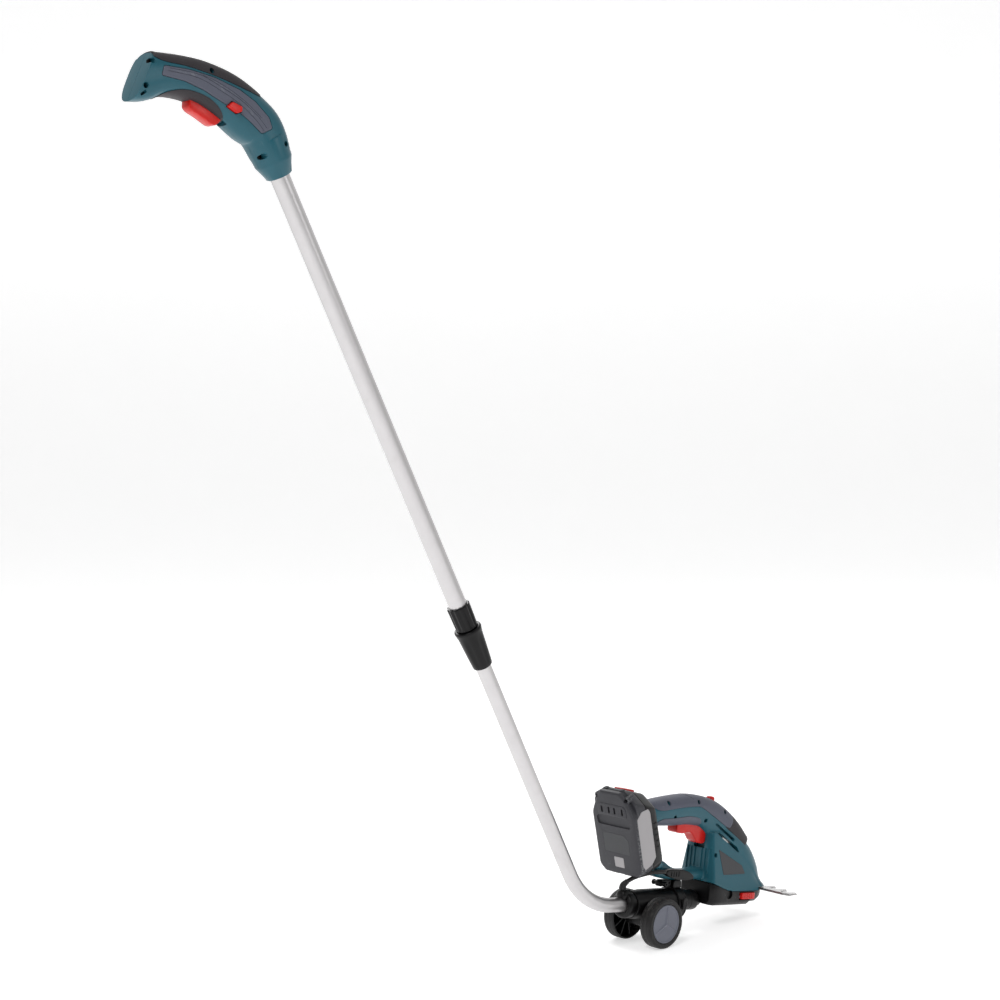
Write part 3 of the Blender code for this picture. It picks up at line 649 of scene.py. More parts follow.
class MouldGrain(Effect):
    """The spark-eroded grain of a plastic mould, as a normal and a height."""

    title = "mould_grain"
    inputs = (("Scale", "Float", 1500.0), ("Strength", "Float", 0.12), ("Pits", "Float", 0.5))
    outputs = (("Normal", "Vector"), ("Height", "Float"))

    def wire(self, w: Wiring, start: bpy.types.Node, end: bpy.types.Node) -> None:
        """Mixes rounded pits with fine noise and bumps the surface with them."""
        place = w.add("TexCoord").outputs["Object"]
        pits = w.add("TexVoronoi", feature="SMOOTH_F1", Smoothness=0.6)
        fine = w.add("TexNoise", Detail=3.0, Roughness=0.6)
        for texture in (pits, fine):
            w.join(place, texture.inputs["Vector"])
            w.join(start.outputs["Scale"], texture.inputs["Scale"])
        mix = w.add("Mix", data_type="FLOAT")
        w.join(start.outputs["Pits"], mix.inputs[0])
        w.join(fine.outputs["Fac"], mix.inputs[2])
        w.join(pits.outputs["Distance"], mix.inputs[3])
        bump = w.add("Bump", Distance=0.00006)
        w.join(start.outputs["Strength"], bump.inputs["Strength"])
        w.join(mix.outputs[0], bump.inputs["Height"])
        w.join(bump.outputs["Normal"], end.inputs["Normal"])
        w.join(mix.outputs[0], end.inputs["Height"])


class Scuffs(Effect):
    """Sparse hairline scratches and rubbed patches, as a mask."""

    title = "scuffs"
    inputs = (("Scale", "Float", 60.0), ("Amount", "Float", 0.5))
    outputs = (("Mask", "Float"),)

    def wire(self, w: Wiring, start: bpy.types.Node, end: bpy.types.Node) -> None:
        """Crosses two sets of stretched noise lines inside soft patches."""
        place = w.add("TexCoord").outputs["Object"]
        lines = []
        for turn, stretch in ((0.6, (1.0, 14.0, 1.0)), (-0.9, (13.0, 1.0, 2.0))):
            mapping = w.add("Mapping", Rotation=(0.3, turn, turn), Scale=stretch)
            w.join(place, mapping.inputs["Vector"])
            streaks = w.add("TexNoise", Detail=2.0, Roughness=0.5)
            w.join(mapping.outputs["Vector"], streaks.inputs["Vector"])
            w.join(start.outputs["Scale"], streaks.inputs["Scale"])
            lines.append(w.fade(streaks.outputs["Fac"], 0.68, 0.74))
        patch = w.add("TexNoise", Scale=22.0, Detail=3.0)
        w.join(place, patch.inputs["Vector"])
        patches = w.fade(patch.outputs["Fac"], 0.5, 0.66)
        both = w.maths("MULTIPLY", w.maths("MAXIMUM", *lines), patches)
        w.join(w.maths("MULTIPLY", both, start.outputs["Amount"]), end.inputs["Mask"])


class EdgeRub(Effect):
    """Worn light edges, from how sharply the surface bends, as a mask."""

    title = "edge_rub"
    inputs = (("Amount", "Float", 0.5),)
    outputs = (("Mask", "Float"),)

    def wire(self, w: Wiring, start: bpy.types.Node, end: bpy.types.Node) -> None:
        """Takes the convex edges and breaks them up with noise."""
        bend = w.fade(w.add("NewGeometry").outputs["Pointiness"], 0.53, 0.62)
        chips = w.add("TexNoise", Scale=420.0, Detail=4.0)
        w.join(w.add("TexCoord").outputs["Object"], chips.inputs["Vector"])
        rub = w.maths("MULTIPLY", bend, w.fade(chips.outputs["Fac"], 0.4, 0.6))
        w.join(w.maths("MULTIPLY", rub, start.outputs["Amount"]), end.inputs["Mask"])


class Dust(Effect):
    """A thin film of dust on what faces up, as a mask."""

    title = "dust"
    inputs = (("Amount", "Float", 0.15),)
    outputs = (("Mask", "Float"),)

    def wire(self, w: Wiring, start: bpy.types.Node, end: bpy.types.Node) -> None:
        """Masks the upward faces with mottled noise."""
        facing = w.add("SeparateXYZ")
        w.join(w.add("NewGeometry").outputs["Normal"], facing.inputs[0])
        upward = w.fade(facing.outputs["Z"], 0.1, 1.0)
        mottle = w.add("TexNoise", Scale=240.0, Detail=6.0, Roughness=0.7)
        w.join(w.add("TexCoord").outputs["Object"], mottle.inputs["Vector"])
        film = w.maths("MULTIPLY", upward, w.fade(mottle.outputs["Fac"], 0.42, 0.72))
        w.join(w.maths("MULTIPLY", film, start.outputs["Amount"]), end.inputs["Mask"])


class DrawLines(Effect):
    """Fine lines along one direction, as drawn or ground metal has, as a normal and a mask."""

    title = "draw_lines"
    inputs = (("Vector", "Vector", 0), ("Scale", "Float", 900.0), ("Strength", "Float", 0.1))
    outputs = (("Normal", "Vector"), ("Mask", "Float"))

    def wire(self, w: Wiring, start: bpy.types.Node, end: bpy.types.Node) -> None:
        """Bumps the surface with noise that the given vector has stretched."""
        lines = w.add("TexNoise", Detail=4.0, Roughness=0.7)
        w.join(start.outputs["Vector"], lines.inputs["Vector"])
        w.join(start.outputs["Scale"], lines.inputs["Scale"])
        bump = w.add("Bump", Distance=0.0001)
        w.join(start.outputs["Strength"], bump.inputs["Strength"])
        w.join(lines.outputs["Fac"], bump.inputs["Height"])
        w.join(bump.outputs["Normal"], end.inputs["Normal"])
        w.join(lines.outputs["Fac"], end.inputs["Mask"])


# ---------------------------------------------------------------- finishes

@dataclass(frozen=True)
class Plastic:
    """Moulded plastic or rubber: grain, clouding, scuffs, worn edges and a little dust."""

    name: str
    slot: str
    colour: Triple
    roughness: float
    grain: float = 1500.0
    grain_strength: float = 0.12
    pits: float = 0.5
    clouding: float = 0.05
    scuff: float = 0.22
    rub: float = 0.25
    dust: float = 0.04
    worn: Triple = (0.45, 0.47, 0.48)
    specular: float = 0.32
    coat: float = 0.0

    def material(self) -> bpy.types.Material:
        """Builds the material once and gives it."""
        found = bpy.data.materials.get(self.name)
        if found:
            return found
        made = bpy.data.materials.new(self.name)
        made.use_nodes = True
        w = Wiring(made.node_tree)
        shader = made.node_tree.nodes["Principled BSDF"]
        drift = ColourDrift().place(w, Colour=(*self.colour, 1), Amount=self.clouding, Scale=30.0)
        rub = EdgeRub().place(w, Amount=self.rub).outputs["Mask"]
        scuffs = Scuffs().place(w, Scale=70.0, Amount=self.scuff).outputs["Mask"]
        dust = Dust().place(w, Amount=self.dust).outputs["Mask"]
        colour = drift.outputs["Colour"]
        layers = ((w.maths("MULTIPLY", scuffs, 0.35), self.worn), (rub, self.worn),
                  (dust, (0.42, 0.40, 0.37)))
        for mask, tint in layers:
            mix = w.add("MixRGB", Color2=(*tint, 1))
            w.join(mask, mix.inputs["Fac"])
            w.join(colour, mix.inputs["Color1"])
            colour = mix.outputs["Color"]
        w.join(colour, shader.inputs["Base Color"])
        grain = MouldGrain().place(w, Scale=self.grain, Strength=self.grain_strength, Pits=self.pits)
        w.join(grain.outputs["Normal"], shader.inputs["Normal"])
        swing = w.maths("MULTIPLY", w.maths("SUBTRACT", grain.outputs["Height"], 0.5), 0.12)
        rough = w.maths("ADD", w.maths("ADD", swing, self.roughness), w.maths("MULTIPLY", scuffs, 0.18))
        w.join(w.maths("ADD", rough, w.maths("MULTIPLY", dust, 0.3)), shader.inputs["Roughness"])
        shader.inputs["Specular IOR Level"].default_value = self.specular
        shader.inputs["Coat Weight"].default_value = self.coat
        shader.inputs["Coat Roughness"].default_value = 0.18
        return made


@dataclass(frozen=True)
class Metal:
    """Drawn, anodised or ground metal, whose lines run along one direction of a frame."""

    name: str
    slot: str
    colour: Triple
    roughness: float
    place: Matrix
    stretch: Triple
    lines: float = 900.0
    strength: float = 0.08
    stain: Triple = (0.3, 0.28, 0.26)
    stained: float = 0.12
    metallic: float = 1.0

    def material(self) -> bpy.types.Material:
        """Builds the material once and gives it."""
        found = bpy.data.materials.get(self.name)
        if found:
            return found
        made = bpy.data.materials.new(self.name)
        made.use_nodes = True
        w = Wiring(made.node_tree)
        shader = made.node_tree.nodes["Principled BSDF"]
        turn = self.place.to_3x3().inverted().to_euler()
        square = w.add("Mapping", Rotation=tuple(turn))
        squash = w.add("Mapping", Scale=self.stretch)
        w.join(w.add("TexCoord").outputs["Object"], square.inputs["Vector"])
        w.join(square.outputs["Vector"], squash.inputs["Vector"])
        lines = DrawLines().place(w, Vector=squash.outputs["Vector"], Scale=self.lines,
                                  Strength=self.strength)
        drift = ColourDrift().place(w, Colour=(*self.colour, 1), Amount=0.03, Scale=45.0)
        scuffs = Scuffs().place(w, Scale=55.0, Amount=0.5).outputs["Mask"]
        cloud = w.add("TexNoise", Scale=60.0, Detail=6.0)
        w.join(w.add("TexCoord").outputs["Object"], cloud.inputs["Vector"])
        stain = w.maths("MULTIPLY", w.fade(cloud.outputs["Fac"], 0.55, 0.75), self.stained)
        mix = w.add("MixRGB", Color2=(*self.stain, 1))
        w.join(stain, mix.inputs["Fac"])
        w.join(drift.outputs["Colour"], mix.inputs["Color1"])
        w.join(mix.outputs["Color"], shader.inputs["Base Color"])
        w.join(lines.outputs["Normal"], shader.inputs["Normal"])
        swing = w.maths("MULTIPLY", w.maths("SUBTRACT", lines.outputs["Mask"], 0.5), 0.16)
        rough = w.maths("ADD", w.maths("ADD", swing, self.roughness), w.maths("MULTIPLY", scuffs, 0.2))
        w.join(w.maths("ADD", rough, w.maths("MULTIPLY", stain, 0.5)), shader.inputs["Roughness"])
        shader.inputs["Metallic"].default_value = self.metallic
        return made


class Finish(Enum):
    """Every finish on the tool."""

    TEAL = Plastic("teal_shell", "teal", (0.015, 0.102, 0.138), 0.33, grain_strength=0.08,
                   scuff=0.12, rub=0.0, dust=0.015, specular=0.34)
    SLATE = Plastic("slate_overmould", "slate", (0.098, 0.106, 0.142), 0.48, grain=1100.0,
                    grain_strength=0.22, pits=0.8, rub=0.15)
    CHARCOAL = Plastic("charcoal_overmould", "charcoal", (0.030, 0.026, 0.030), 0.55, grain=950.0,
                       grain_strength=0.35, pits=0.9, rub=0.12, worn=(0.22, 0.21, 0.21))
    BLACK = Plastic("black_plastic", "black", (0.0042, 0.0040, 0.0045), 0.34, grain_strength=0.08,
                    scuff=0.12, rub=0.12, dust=0.015, worn=(0.16, 0.16, 0.165), specular=0.24)
    # Near black as painted shade: the gauge's light pipes stand for the darkness inside the slots they sit
    # in.
    SOCKET = Plastic("painted_recess_shade", "black", (0.003, 0.003, 0.003), 0.8, rub=0.0, dust=0.0, scuff=0.0)
    TYRE = Plastic("tyre_rubber", "rubber", (0.010, 0.0095, 0.010), 0.55, grain=700.0,
                   grain_strength=0.25, worn=(0.17, 0.16, 0.15), dust=0.16, specular=0.35)
    CABLE = Plastic("cable_jacket", "rubber", (0.016, 0.0155, 0.016), 0.48, grain_strength=0.06)
    CAP = Plastic("hub_cap_grey", "slate", (0.150, 0.158, 0.195), 0.44, grain_strength=0.1)
    RED = Plastic("red_control", "red", (0.620, 0.012, 0.008), 0.30, grain_strength=0.05,
                  worn=(0.75, 0.3, 0.28), rub=0.0, scuff=0.1, dust=0.01, specular=0.28, coat=0.1)
    PACK = Plastic("battery_grey", "battery", (0.042, 0.042, 0.049), 0.46, grain=1300.0,
                   grain_strength=0.2, pits=0.7)
    FILM = Plastic("label_film", "label", (0.40, 0.385, 0.395), 0.34, grain=2500.0, grain_strength=0.03,
                   scuff=0.06, rub=0.0, worn=(0.5, 0.5, 0.5), clouding=0.015)
    PLATE = Plastic("rating_plate", "label", (0.050, 0.052, 0.057), 0.30, grain=2400.0,
                    grain_strength=0.04, scuff=0.06, rub=0.0, clouding=0.02)
    CELL = Plastic("cell_wrap", "copper", (0.5, 0.24, 0.12), 0.4)
    ALUMINIUM = Metal("satin_aluminium", "aluminium", (0.60, 0.585, 0.59), 0.38, PLACES.pole,
                      (1.0, 1.0, 0.02), lines=1100.0, strength=0.10, stained=0.06)
    BLADE = Metal("ground_blade", "steel", (0.55, 0.54, 0.54), 0.27, PLACES.tool, (0.04, 1.0, 1.0))
    # The screws are near black as painted shade: the colour stands for the deep black holes they sit in.
    SCREW = Plastic("screw_painted_hole_shade", "black", (0.003, 0.003, 0.003), 0.6, rub=0.0, scuff=0.0,
                    dust=0.0, specular=0.15)
    STEEL = Metal("turned_steel", "steel", (0.55, 0.54, 0.53), 0.30, PLACES.tool, (1.0, 0.05, 1.0))


# ---------------------------------------------------------------- fitting out

def set_down(thing: Thing, place: Matrix) -> Thing:
    """Moves a piece drawn in a frame to its place and applies the move to its mesh."""
    choose(thing)
    thing.matrix_world = place
    bpy.ops.object.transform_apply(location=True, rotation=True, scale=True)
    return thing


def fit_out(thing: Thing, finish: Finish, body: str, *nodes: str, smooth: float = 32.0) -> Thing:
    """Gives a finished piece its material and sets it on its body.

    Args:
        thing: The piece, already in place.
        finish: Its finish.
        body: The CAD body it moves with.
        *nodes: The CAD nodes it stands for.
        smooth: Edges flatter than this many degrees are shaded smooth.

    Returns:
        The piece.
    """
    choose(thing)
    thing.data.materials.clear()
    thing.data.materials.append(finish.value.material())
    bpy.ops.object.shade_smooth_by_angle(angle=math.radians(smooth))
    thing.data.name = thing.name
    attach(thing, body)
    if nodes:
        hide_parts(*nodes)
    LOG.info("%s: %d faces, %s, on %s", thing.name, len(thing.data.polygons), finish.name, body)
    return thing


def repaint(finish: Finish, *nodes: str) -> None:
    """Gives CAD nodes whose shape is right a detailed material."""
    for node in nodes:
        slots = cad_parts[node].material_slots
        for slot in slots:
            slot.material = finish.value.material()
        LOG.info("%s: repainted, %s", node, finish.name)


# ---------------------------------------------------------------- studio

@dataclass(frozen=True)
class Studio:
    """Floor with a curved backdrop, soft lights and the camera."""

    eye: Triple = (-1783.47, -1620.89, 707.03)
    right: Triple = (0.7284, -0.6851, 0.0)
    back: Triple = (-0.68421, -0.72752, 0.050656)
    lens: float = 66.36
    backdrop_distance: float = 4.2
    backdrop_height: float = 4.0
    bend: float = 1.5
    surround: float = 0.74
    front_drop: float = 0.62

    def aim(self) -> None:
        """Places the camera from the wheel axle's place on the floor."""
        right, back = Vector(self.right).normalized(), Vector(self.back).normalized()
        up = back.cross(right)
        turn = Matrix((right, up, back)).transposed().to_4x4()
        eye = Vector((PLACES.axle.x, 0, 0)) + Vector(self.eye) * MM
        choose()
        bpy.ops.object.camera_add()
        camera = bpy.context.object
        camera.name = "studio_camera"
        camera.matrix_world = Matrix.Translation(eye) @ turn
        camera.data.lens = self.lens
        camera.data.clip_end = 60
        bpy.context.scene.camera = camera

    def backdrop(self) -> None:
        """Builds the floor and extrudes its far edge up in a soft bend."""
        away = -Vector((self.back[0], self.back[1], 0)).normalized()
        side = Vector((-away.y, away.x, 0))
        steps = 14
        near = -away * 4.5
        line = [near, away * self.backdrop_distance]
        for k in range(1, steps + 1):
            a = math.pi / 2 * k / steps
            forward = self.backdrop_distance + self.bend * math.sin(a)
            line.append(away * forward + Vector((0, 0, self.bend * (1 - math.cos(a)))))
        line.append(line[-1] + Vector((0, 0, self.backdrop_height)))
        sweep = trace("studio_floor", [point - side * 6 for point in line])
        bpy.ops.mesh.select_all(action="SELECT")
        bpy.ops.mesh.extrude_region_move(TRANSFORM_OT_translate={"value": side * 12})
        bpy.ops.object.mode_set(mode="OBJECT")
        bpy.ops.object.shade_smooth()
        paper = bpy.data.materials.new("pale_paper")
        paper.use_nodes = True
        w = Wiring(paper.node_tree)
        shader = paper.node_tree.nodes["Principled BSDF"]
        drift = ColourDrift().place(w, Colour=(0.90, 0.90, 0.90, 1), Amount=0.004, Scale=3.0)
        w.join(drift.outputs["Colour"], shader.inputs["Base Color"])
        shader.inputs["Roughness"].default_value = 0.85
        shader.inputs["Specular IOR Level"].default_value = 0.1
        w.join(drift.outputs["Colour"], shader.inputs["Emission Color"])
        shader.inputs["Emission Strength"].default_value = 0.62
        sweep.data.materials.append(paper)

    def lamp(self, name: str, place: Triple, aim: Triple, size: float, power: float) -> None:
        """Adds one soft square light.

        Args:
            name: Name of the light.
            place: Where it stands, in metres.
            aim: What it points at, in metres.
            size: Width of its square, in metres.
            power: Its power in watts.
        """
        choose()
        bpy.ops.object.light_add(type="AREA", location=place)
        lamp = bpy.context.object
        lamp.name = name
        lamp.data.size = size
        lamp.data.energy = power
        lamp.rotation_euler = (Vector(aim) - Vector(place)).to_track_quat("-Z", "Y").to_euler()

    def light(self) -> None:
        """Sets a surround that is white behind the tool and darker before it, and three lights."""
        world = bpy.data.worlds.new("white_room")
        world.use_nodes = True
        w = Wiring(world.node_tree)
        surround = world.node_tree.nodes["Background"]
        surround.inputs["Color"].default_value = (1.0, 1.0, 1.0, 1)
        front = w.add("VectorMath", operation="DOT_PRODUCT")
        w.join(w.add("TexCoord").outputs["Generated"], front.inputs[0])
        front.inputs[1].default_value = self.back
        dark = w.maths("MULTIPLY", w.fade(front.outputs["Value"], -0.5, 0.6), -self.front_drop)
        w.join(w.maths("ADD", dark, self.surround), surround.inputs["Strength"])
        bpy.context.scene.world = world
        bpy.context.scene.view_settings.view_transform = "Standard"
        self.lamp("key_light", (-2.2, -1.0, 2.6), (0.0, 0.0, 0.4), 1.0, 34)
        self.lamp("fill_light", (0.9, -2.6, 1.4), (0.1, 0.0, 0.3), 1.0, 8)
        self.lamp("rim_light", (0.8, 2.2, 2.2), (0.0, 0.0, 0.4), 0.9, 24)

    def build(self) -> None:
        """Sets up the whole studio."""
        self.aim()
        self.backdrop()
        self.light()


# ---------------------------------------------------------------- control lead

@dataclass(frozen=True)
class ControlLead:
    """The short lead from the trolley's collar to the plug beside the shear's foot."""

    route: tuple[Triple, ...] = ((-46.5, 0, 39.9), (-47.5, -1.5, 44.5), (-43.5, -4.5, 50), (-35, -7.5, 55),
                                 (-24, -11, 59), (-12, -14.5, 62), (1, -17, 63.5), (13.6, -18, 63.6))
    diameter: float = 5.5
    boot: Outline = ((-0.4, 4.7), (3.0, 4.5), (8.0, 3.7), (12.0, 3.2))

    def line(self) -> list[Vector]:
        """The lead's centre line in the row frame."""
        return [PLACES.tool @ (Vector(point) * MM) for point in flowing(self.route, 6)]

    def lead(self, plug: Thing) -> None:
        """Args:
            plug: The plug at its far end; not used.
        """
        line = self.line()
        curve = bpy.data.curves.new("lead", "CURVE")
        curve.dimensions = "3D"
        curve.bevel_depth = self.diameter / 2 * MM
        curve.bevel_resolution = 6
        curve.use_fill_caps = True
        spline = curve.splines.new("POLY")
        spline.points.add(len(line) - 1)
        for spot, point in zip(spline.points, line):
            spot.co = (*point, 1)
        curve.materials.append(Finish.CABLE.value.material())
        lead = bpy.data.objects.new("lead", curve)
        bpy.context.scene.collection.objects.link(lead)
        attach(lead, "chassis")
        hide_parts("control_cable")

    def sleeve(self) -> Thing:
        """Makes the tapered boot round the lead's first stretch."""
        line = flowing(self.route, 6)
        rings, along = [], 0.0
        for i, point in enumerate(line[:18]):
            here, after, before = Vector(point), Vector(line[i + 1]), Vector(line[max(i - 1, 0)])
            along += (here - before).length
            if along > 13.0:
                break
            radius = 4.6 - 0.11 * along + (0.35 if i % 2 else 0.0)
            tangent = (after - before).normalized()
            side = tangent.cross(Vector((0, 1, 0))).normalized()
            up = side.cross(tangent)
            rings.append([(here + side * radius * math.cos(a) + up * radius * math.sin(a)) * MM
                          for a in (FULL_TURN * j / 32 for j in range(32))])
        return lofted("lead_boot", rings)

    def plug(self) -> Thing:
        """Makes the flat plug with its rounded grip and finger ribs."""
        side = [(12.5, 61), (14, 66), (22, 67.5), (36, 67.2), (50, 66.2), (60, 63.5), (67.5, 59.5),
                (70.5, 56), (69, 53.5), (62, 52.2), (52, 52.3), (40, 53.2), (30, 54.4), (20, 57.2)]
        plug = pulled("lead_plug", rounded(side, 4), -21.6, -14.4, Axis.Y)
        soften(plug, 2.2, segments=4, angle=40)
        for x in (22, 27, 32, 37):
            groove = block("groove", (x, -24, 57.5), (x + 1.6, -20.9, 64.5))
            combine(plug, Join.CUT, groove)
        return plug

    def build(self) -> None:
        """Builds the plug, the lead and its boot."""
        plug = fit_out(set_down(self.plug(), PLACES.tool), Finish.BLACK, "chassis", "cable_plug")
        self.lead(plug)
        fit_out(set_down(self.sleeve(), PLACES.tool), Finish.CABLE, "chassis")


# ---------------------------------------------------------------- trolley

@dataclass(frozen=True)
class Trolley:
    """Barrel that takes the pole, its collar, the clamp and the cradle under the shear."""

    bore: float = 9.9
    band: Pair = (45.3, 61.3)
    bolt: Pair = (26, 45.6)

    @property
    def centre(self) -> Triple:
        """A point on the barrel's axis."""
        return (0, 0, BARREL_UP)

    def housing(self) -> Thing:
        """Turns the barrel and joins the axle's boss and sleeve."""
        b = self.bore
        profile = [(-31, b), (-31, 16.9), (-30.4, 17.9), (-29.2, 18.4), (-12, 18.9), (-11.3, 19.3), (41, 20),
                   (62, 20), (62.8, 19.4), (63, 18.6), (63, 13.2), (25, 13.2), (25, b)]
        body = turned("trolley_barrel", profile, Axis.X, self.centre)
        boss = soften(block("boss", (-12, -21.5, -9), (12, 21.5, 6)), 3.5, segments=4)
        sleeve = rod("sleeve", 7.4, -22.6, 22.6, Axis.Y, (0, 0, 0))
        combine(body, Join.ADD, boss, sleeve)
        clear = rod("clear", b, -60, 25.4, Axis.X, self.centre)
        drilled = rod("drilled", 4.3, -30, 30, Axis.Y, (0, 0, 0))
        return soften(combine(body, Join.CUT, clear, drilled), 0.5, segments=2, angle=45)

    def collar(self) -> Thing:
        """Turns the rear collar with its rounded lips."""
        b = self.bore
        profile = [(-45, b + 1.4), (-45, 14.6), (-44.3, 16.2), (-43, 17.2), (-41.4, 17.5), (-35, 17.5),
                   (-33.4, 17.2), (-32, 16.4), (-31.3, 15.4), (-31.3, b), (-43.4, b), (-44.6, b + 0.6)]
        collar = turned("barrel_collar", profile, Axis.X, self.centre)
        return combine(collar, Join.CUT, rod("seat", 8.8, -60, -35.6, Axis.X, (0, 0, 31)))

    def grommet(self) -> Thing:
        """Turns the lead's grommet on the collar's top."""
        dome = [(-50.8, 0), (-50.8, 3.6), (-50.2, 5.6), (-48.9, 7.2), (-47.2, 8.1), (-45.4, 8.5),
                (-43.6, 8.5),
                (-43.1, 8.0), (-42.6, 8.5), (-36, 8.5), (-36, 0)]
        grommet = turned("lead_grommet", dome, Axis.X, (0, 0, 31), 64)
        return combine(grommet, Join.CUT, rod("clear", self.bore, -60, 0, Axis.X, self.centre))

    def front(self) -> Thing:
        """Turns the round barrel that holds the shear's foot."""
        profile = [(62, 0), (62, 12.4), (63.3, 13.0), (64.1, 13.6), (79.5, 13.8), (80, 13.3), (80.6, 13.8),
                   (92, 13.8), (94.5, 13.3), (96.4, 12.0), (97.2, 10.2), (97.2, 8.6), (104.5, 8.6),
                   (104.5, 0)]
        return turned("socket_barrel", profile, Axis.X, (0, 0, 22.3))

    def clamp(self) -> Thing:
        """Turns the clamp band with raised rims, adds its arm and cuts its slot."""
        a, z = self.band
        profile = [(a, 20.3), (a, 21.7), (a + 0.8, 22.3), (a + 2.6, 22.3), (a + 3.2, 21.7), (z - 3.2, 21.7),
                   (z - 2.6, 22.3), (z - 0.8, 22.3), (z, 21.7), (z, 20.3)]
        band = turned("clamp_ring", profile, Axis.X, self.centre)
        side = [(a, 39.8), (a - 0.2, 47), (a + 1.5, 50.4), (z - 1.5, 50.4), (z, 47), (z, 39.8)]
        arm = soften(pulled("arm", side, -8, 8, Axis.Y), 1.2)
        combine(band, Join.ADD, arm)
        combine(band, Join.CUT, block("slot", (51, -24, 14), (57, -18, 26)))
        return band

    def latch(self) -> Thing:
        """Makes the clamp's latch with four finger grooves."""
        outline = [(49.5, 14), (57.5, 14), (57.5, 27.5), (56, 29.5), (51, 29.5), (49.5, 27.5)]
        latch = soften(pulled("clamp_catch", outline, -24.9, -22.8, Axis.Y), 0.6, segments=3)
        grooves = [block("groove", (50.6, -30, z), (56.4, -24.5, z + 0.8)) for z in (17, 19, 21, 23)]
        return combine(latch, Join.CUT, *grooves)

    def cradle(self) -> Thing:
        """Makes the tongue under the clamp's arm, hollowed on both sides."""
        outline = [(21.5, 42.6), (21.5, 47.6), (24.5, 50.2), (45, 50.3), (45, 41.5), (36, 41.2), (28, 41.8),
                   (24, 41.2)]
        saddle = soften(pulled("cradle_saddle", rounded(outline, 2.0, 3), -4.6, 4.6, Axis.Y), 1.2, segments=3)
        hollow = rounded([(30, 44.6), (41, 44.2), (41, 48.0), (30, 48.2)], 1.2, 3)
        sides = [pulled("hollow", hollow, *sorted((face * 3.6, face * 10)), Axis.Y) for face in (-1, 1)]
        x, z = self.bolt
        return combine(saddle, Join.CUT, *sides, rod("hole", 1.8, -14, 14, Axis.Y, (x, 0, z)))

    def knob(self) -> Thing:
        """Turns the cradle's bolt with a hexagon socket in its head."""
        x, z = self.bolt
        head = [(-12.5, 0), (-12.5, 2.2), (-12.2, 3.1), (-11.5, 3.6), (-9.3, 3.6), (-9.3, 3.0), (-4.8, 3.0),
                (-4.8, 2.2), (4.8, 2.2), (4.8, 3.0), (9.3, 3.0), (9.3, 3.6), (11.4, 3.6), (12, 3.0), (12, 0)]
        knob = turned("cradle_screw", head, Axis.Y, (x, 0, z), 48)
        hexagon = [(x + 1.7 * math.cos(a), z + 1.7 * math.sin(a))
                   for a in (FULL_TURN * k / 6 for k in range(6))]
        return combine(knob, Join.CUT, pulled("hexagon", hexagon, -14, -11, Axis.Y))

    def build(self) -> None:
        """Builds and dresses every piece of the trolley but its wheels."""
        pieces = ((self.housing, "chassis", "trolley_housing"), (self.collar, "chassis", "rear_collar"),
                  (self.grommet, "chassis", "cable_grommet"), (self.front, "chassis", "front_barrel"),
                  (self.clamp, "chassis", "clamp_band"), (self.latch, "latch", "clamp_latch"),
                  (self.cradle, "chassis", "cradle"), (self.knob, "chassis", "cradle_bolt"))
        for make, body, node in pieces:
            fit_out(set_down(make(), PLACES.tool), Finish.BLACK, body, node)


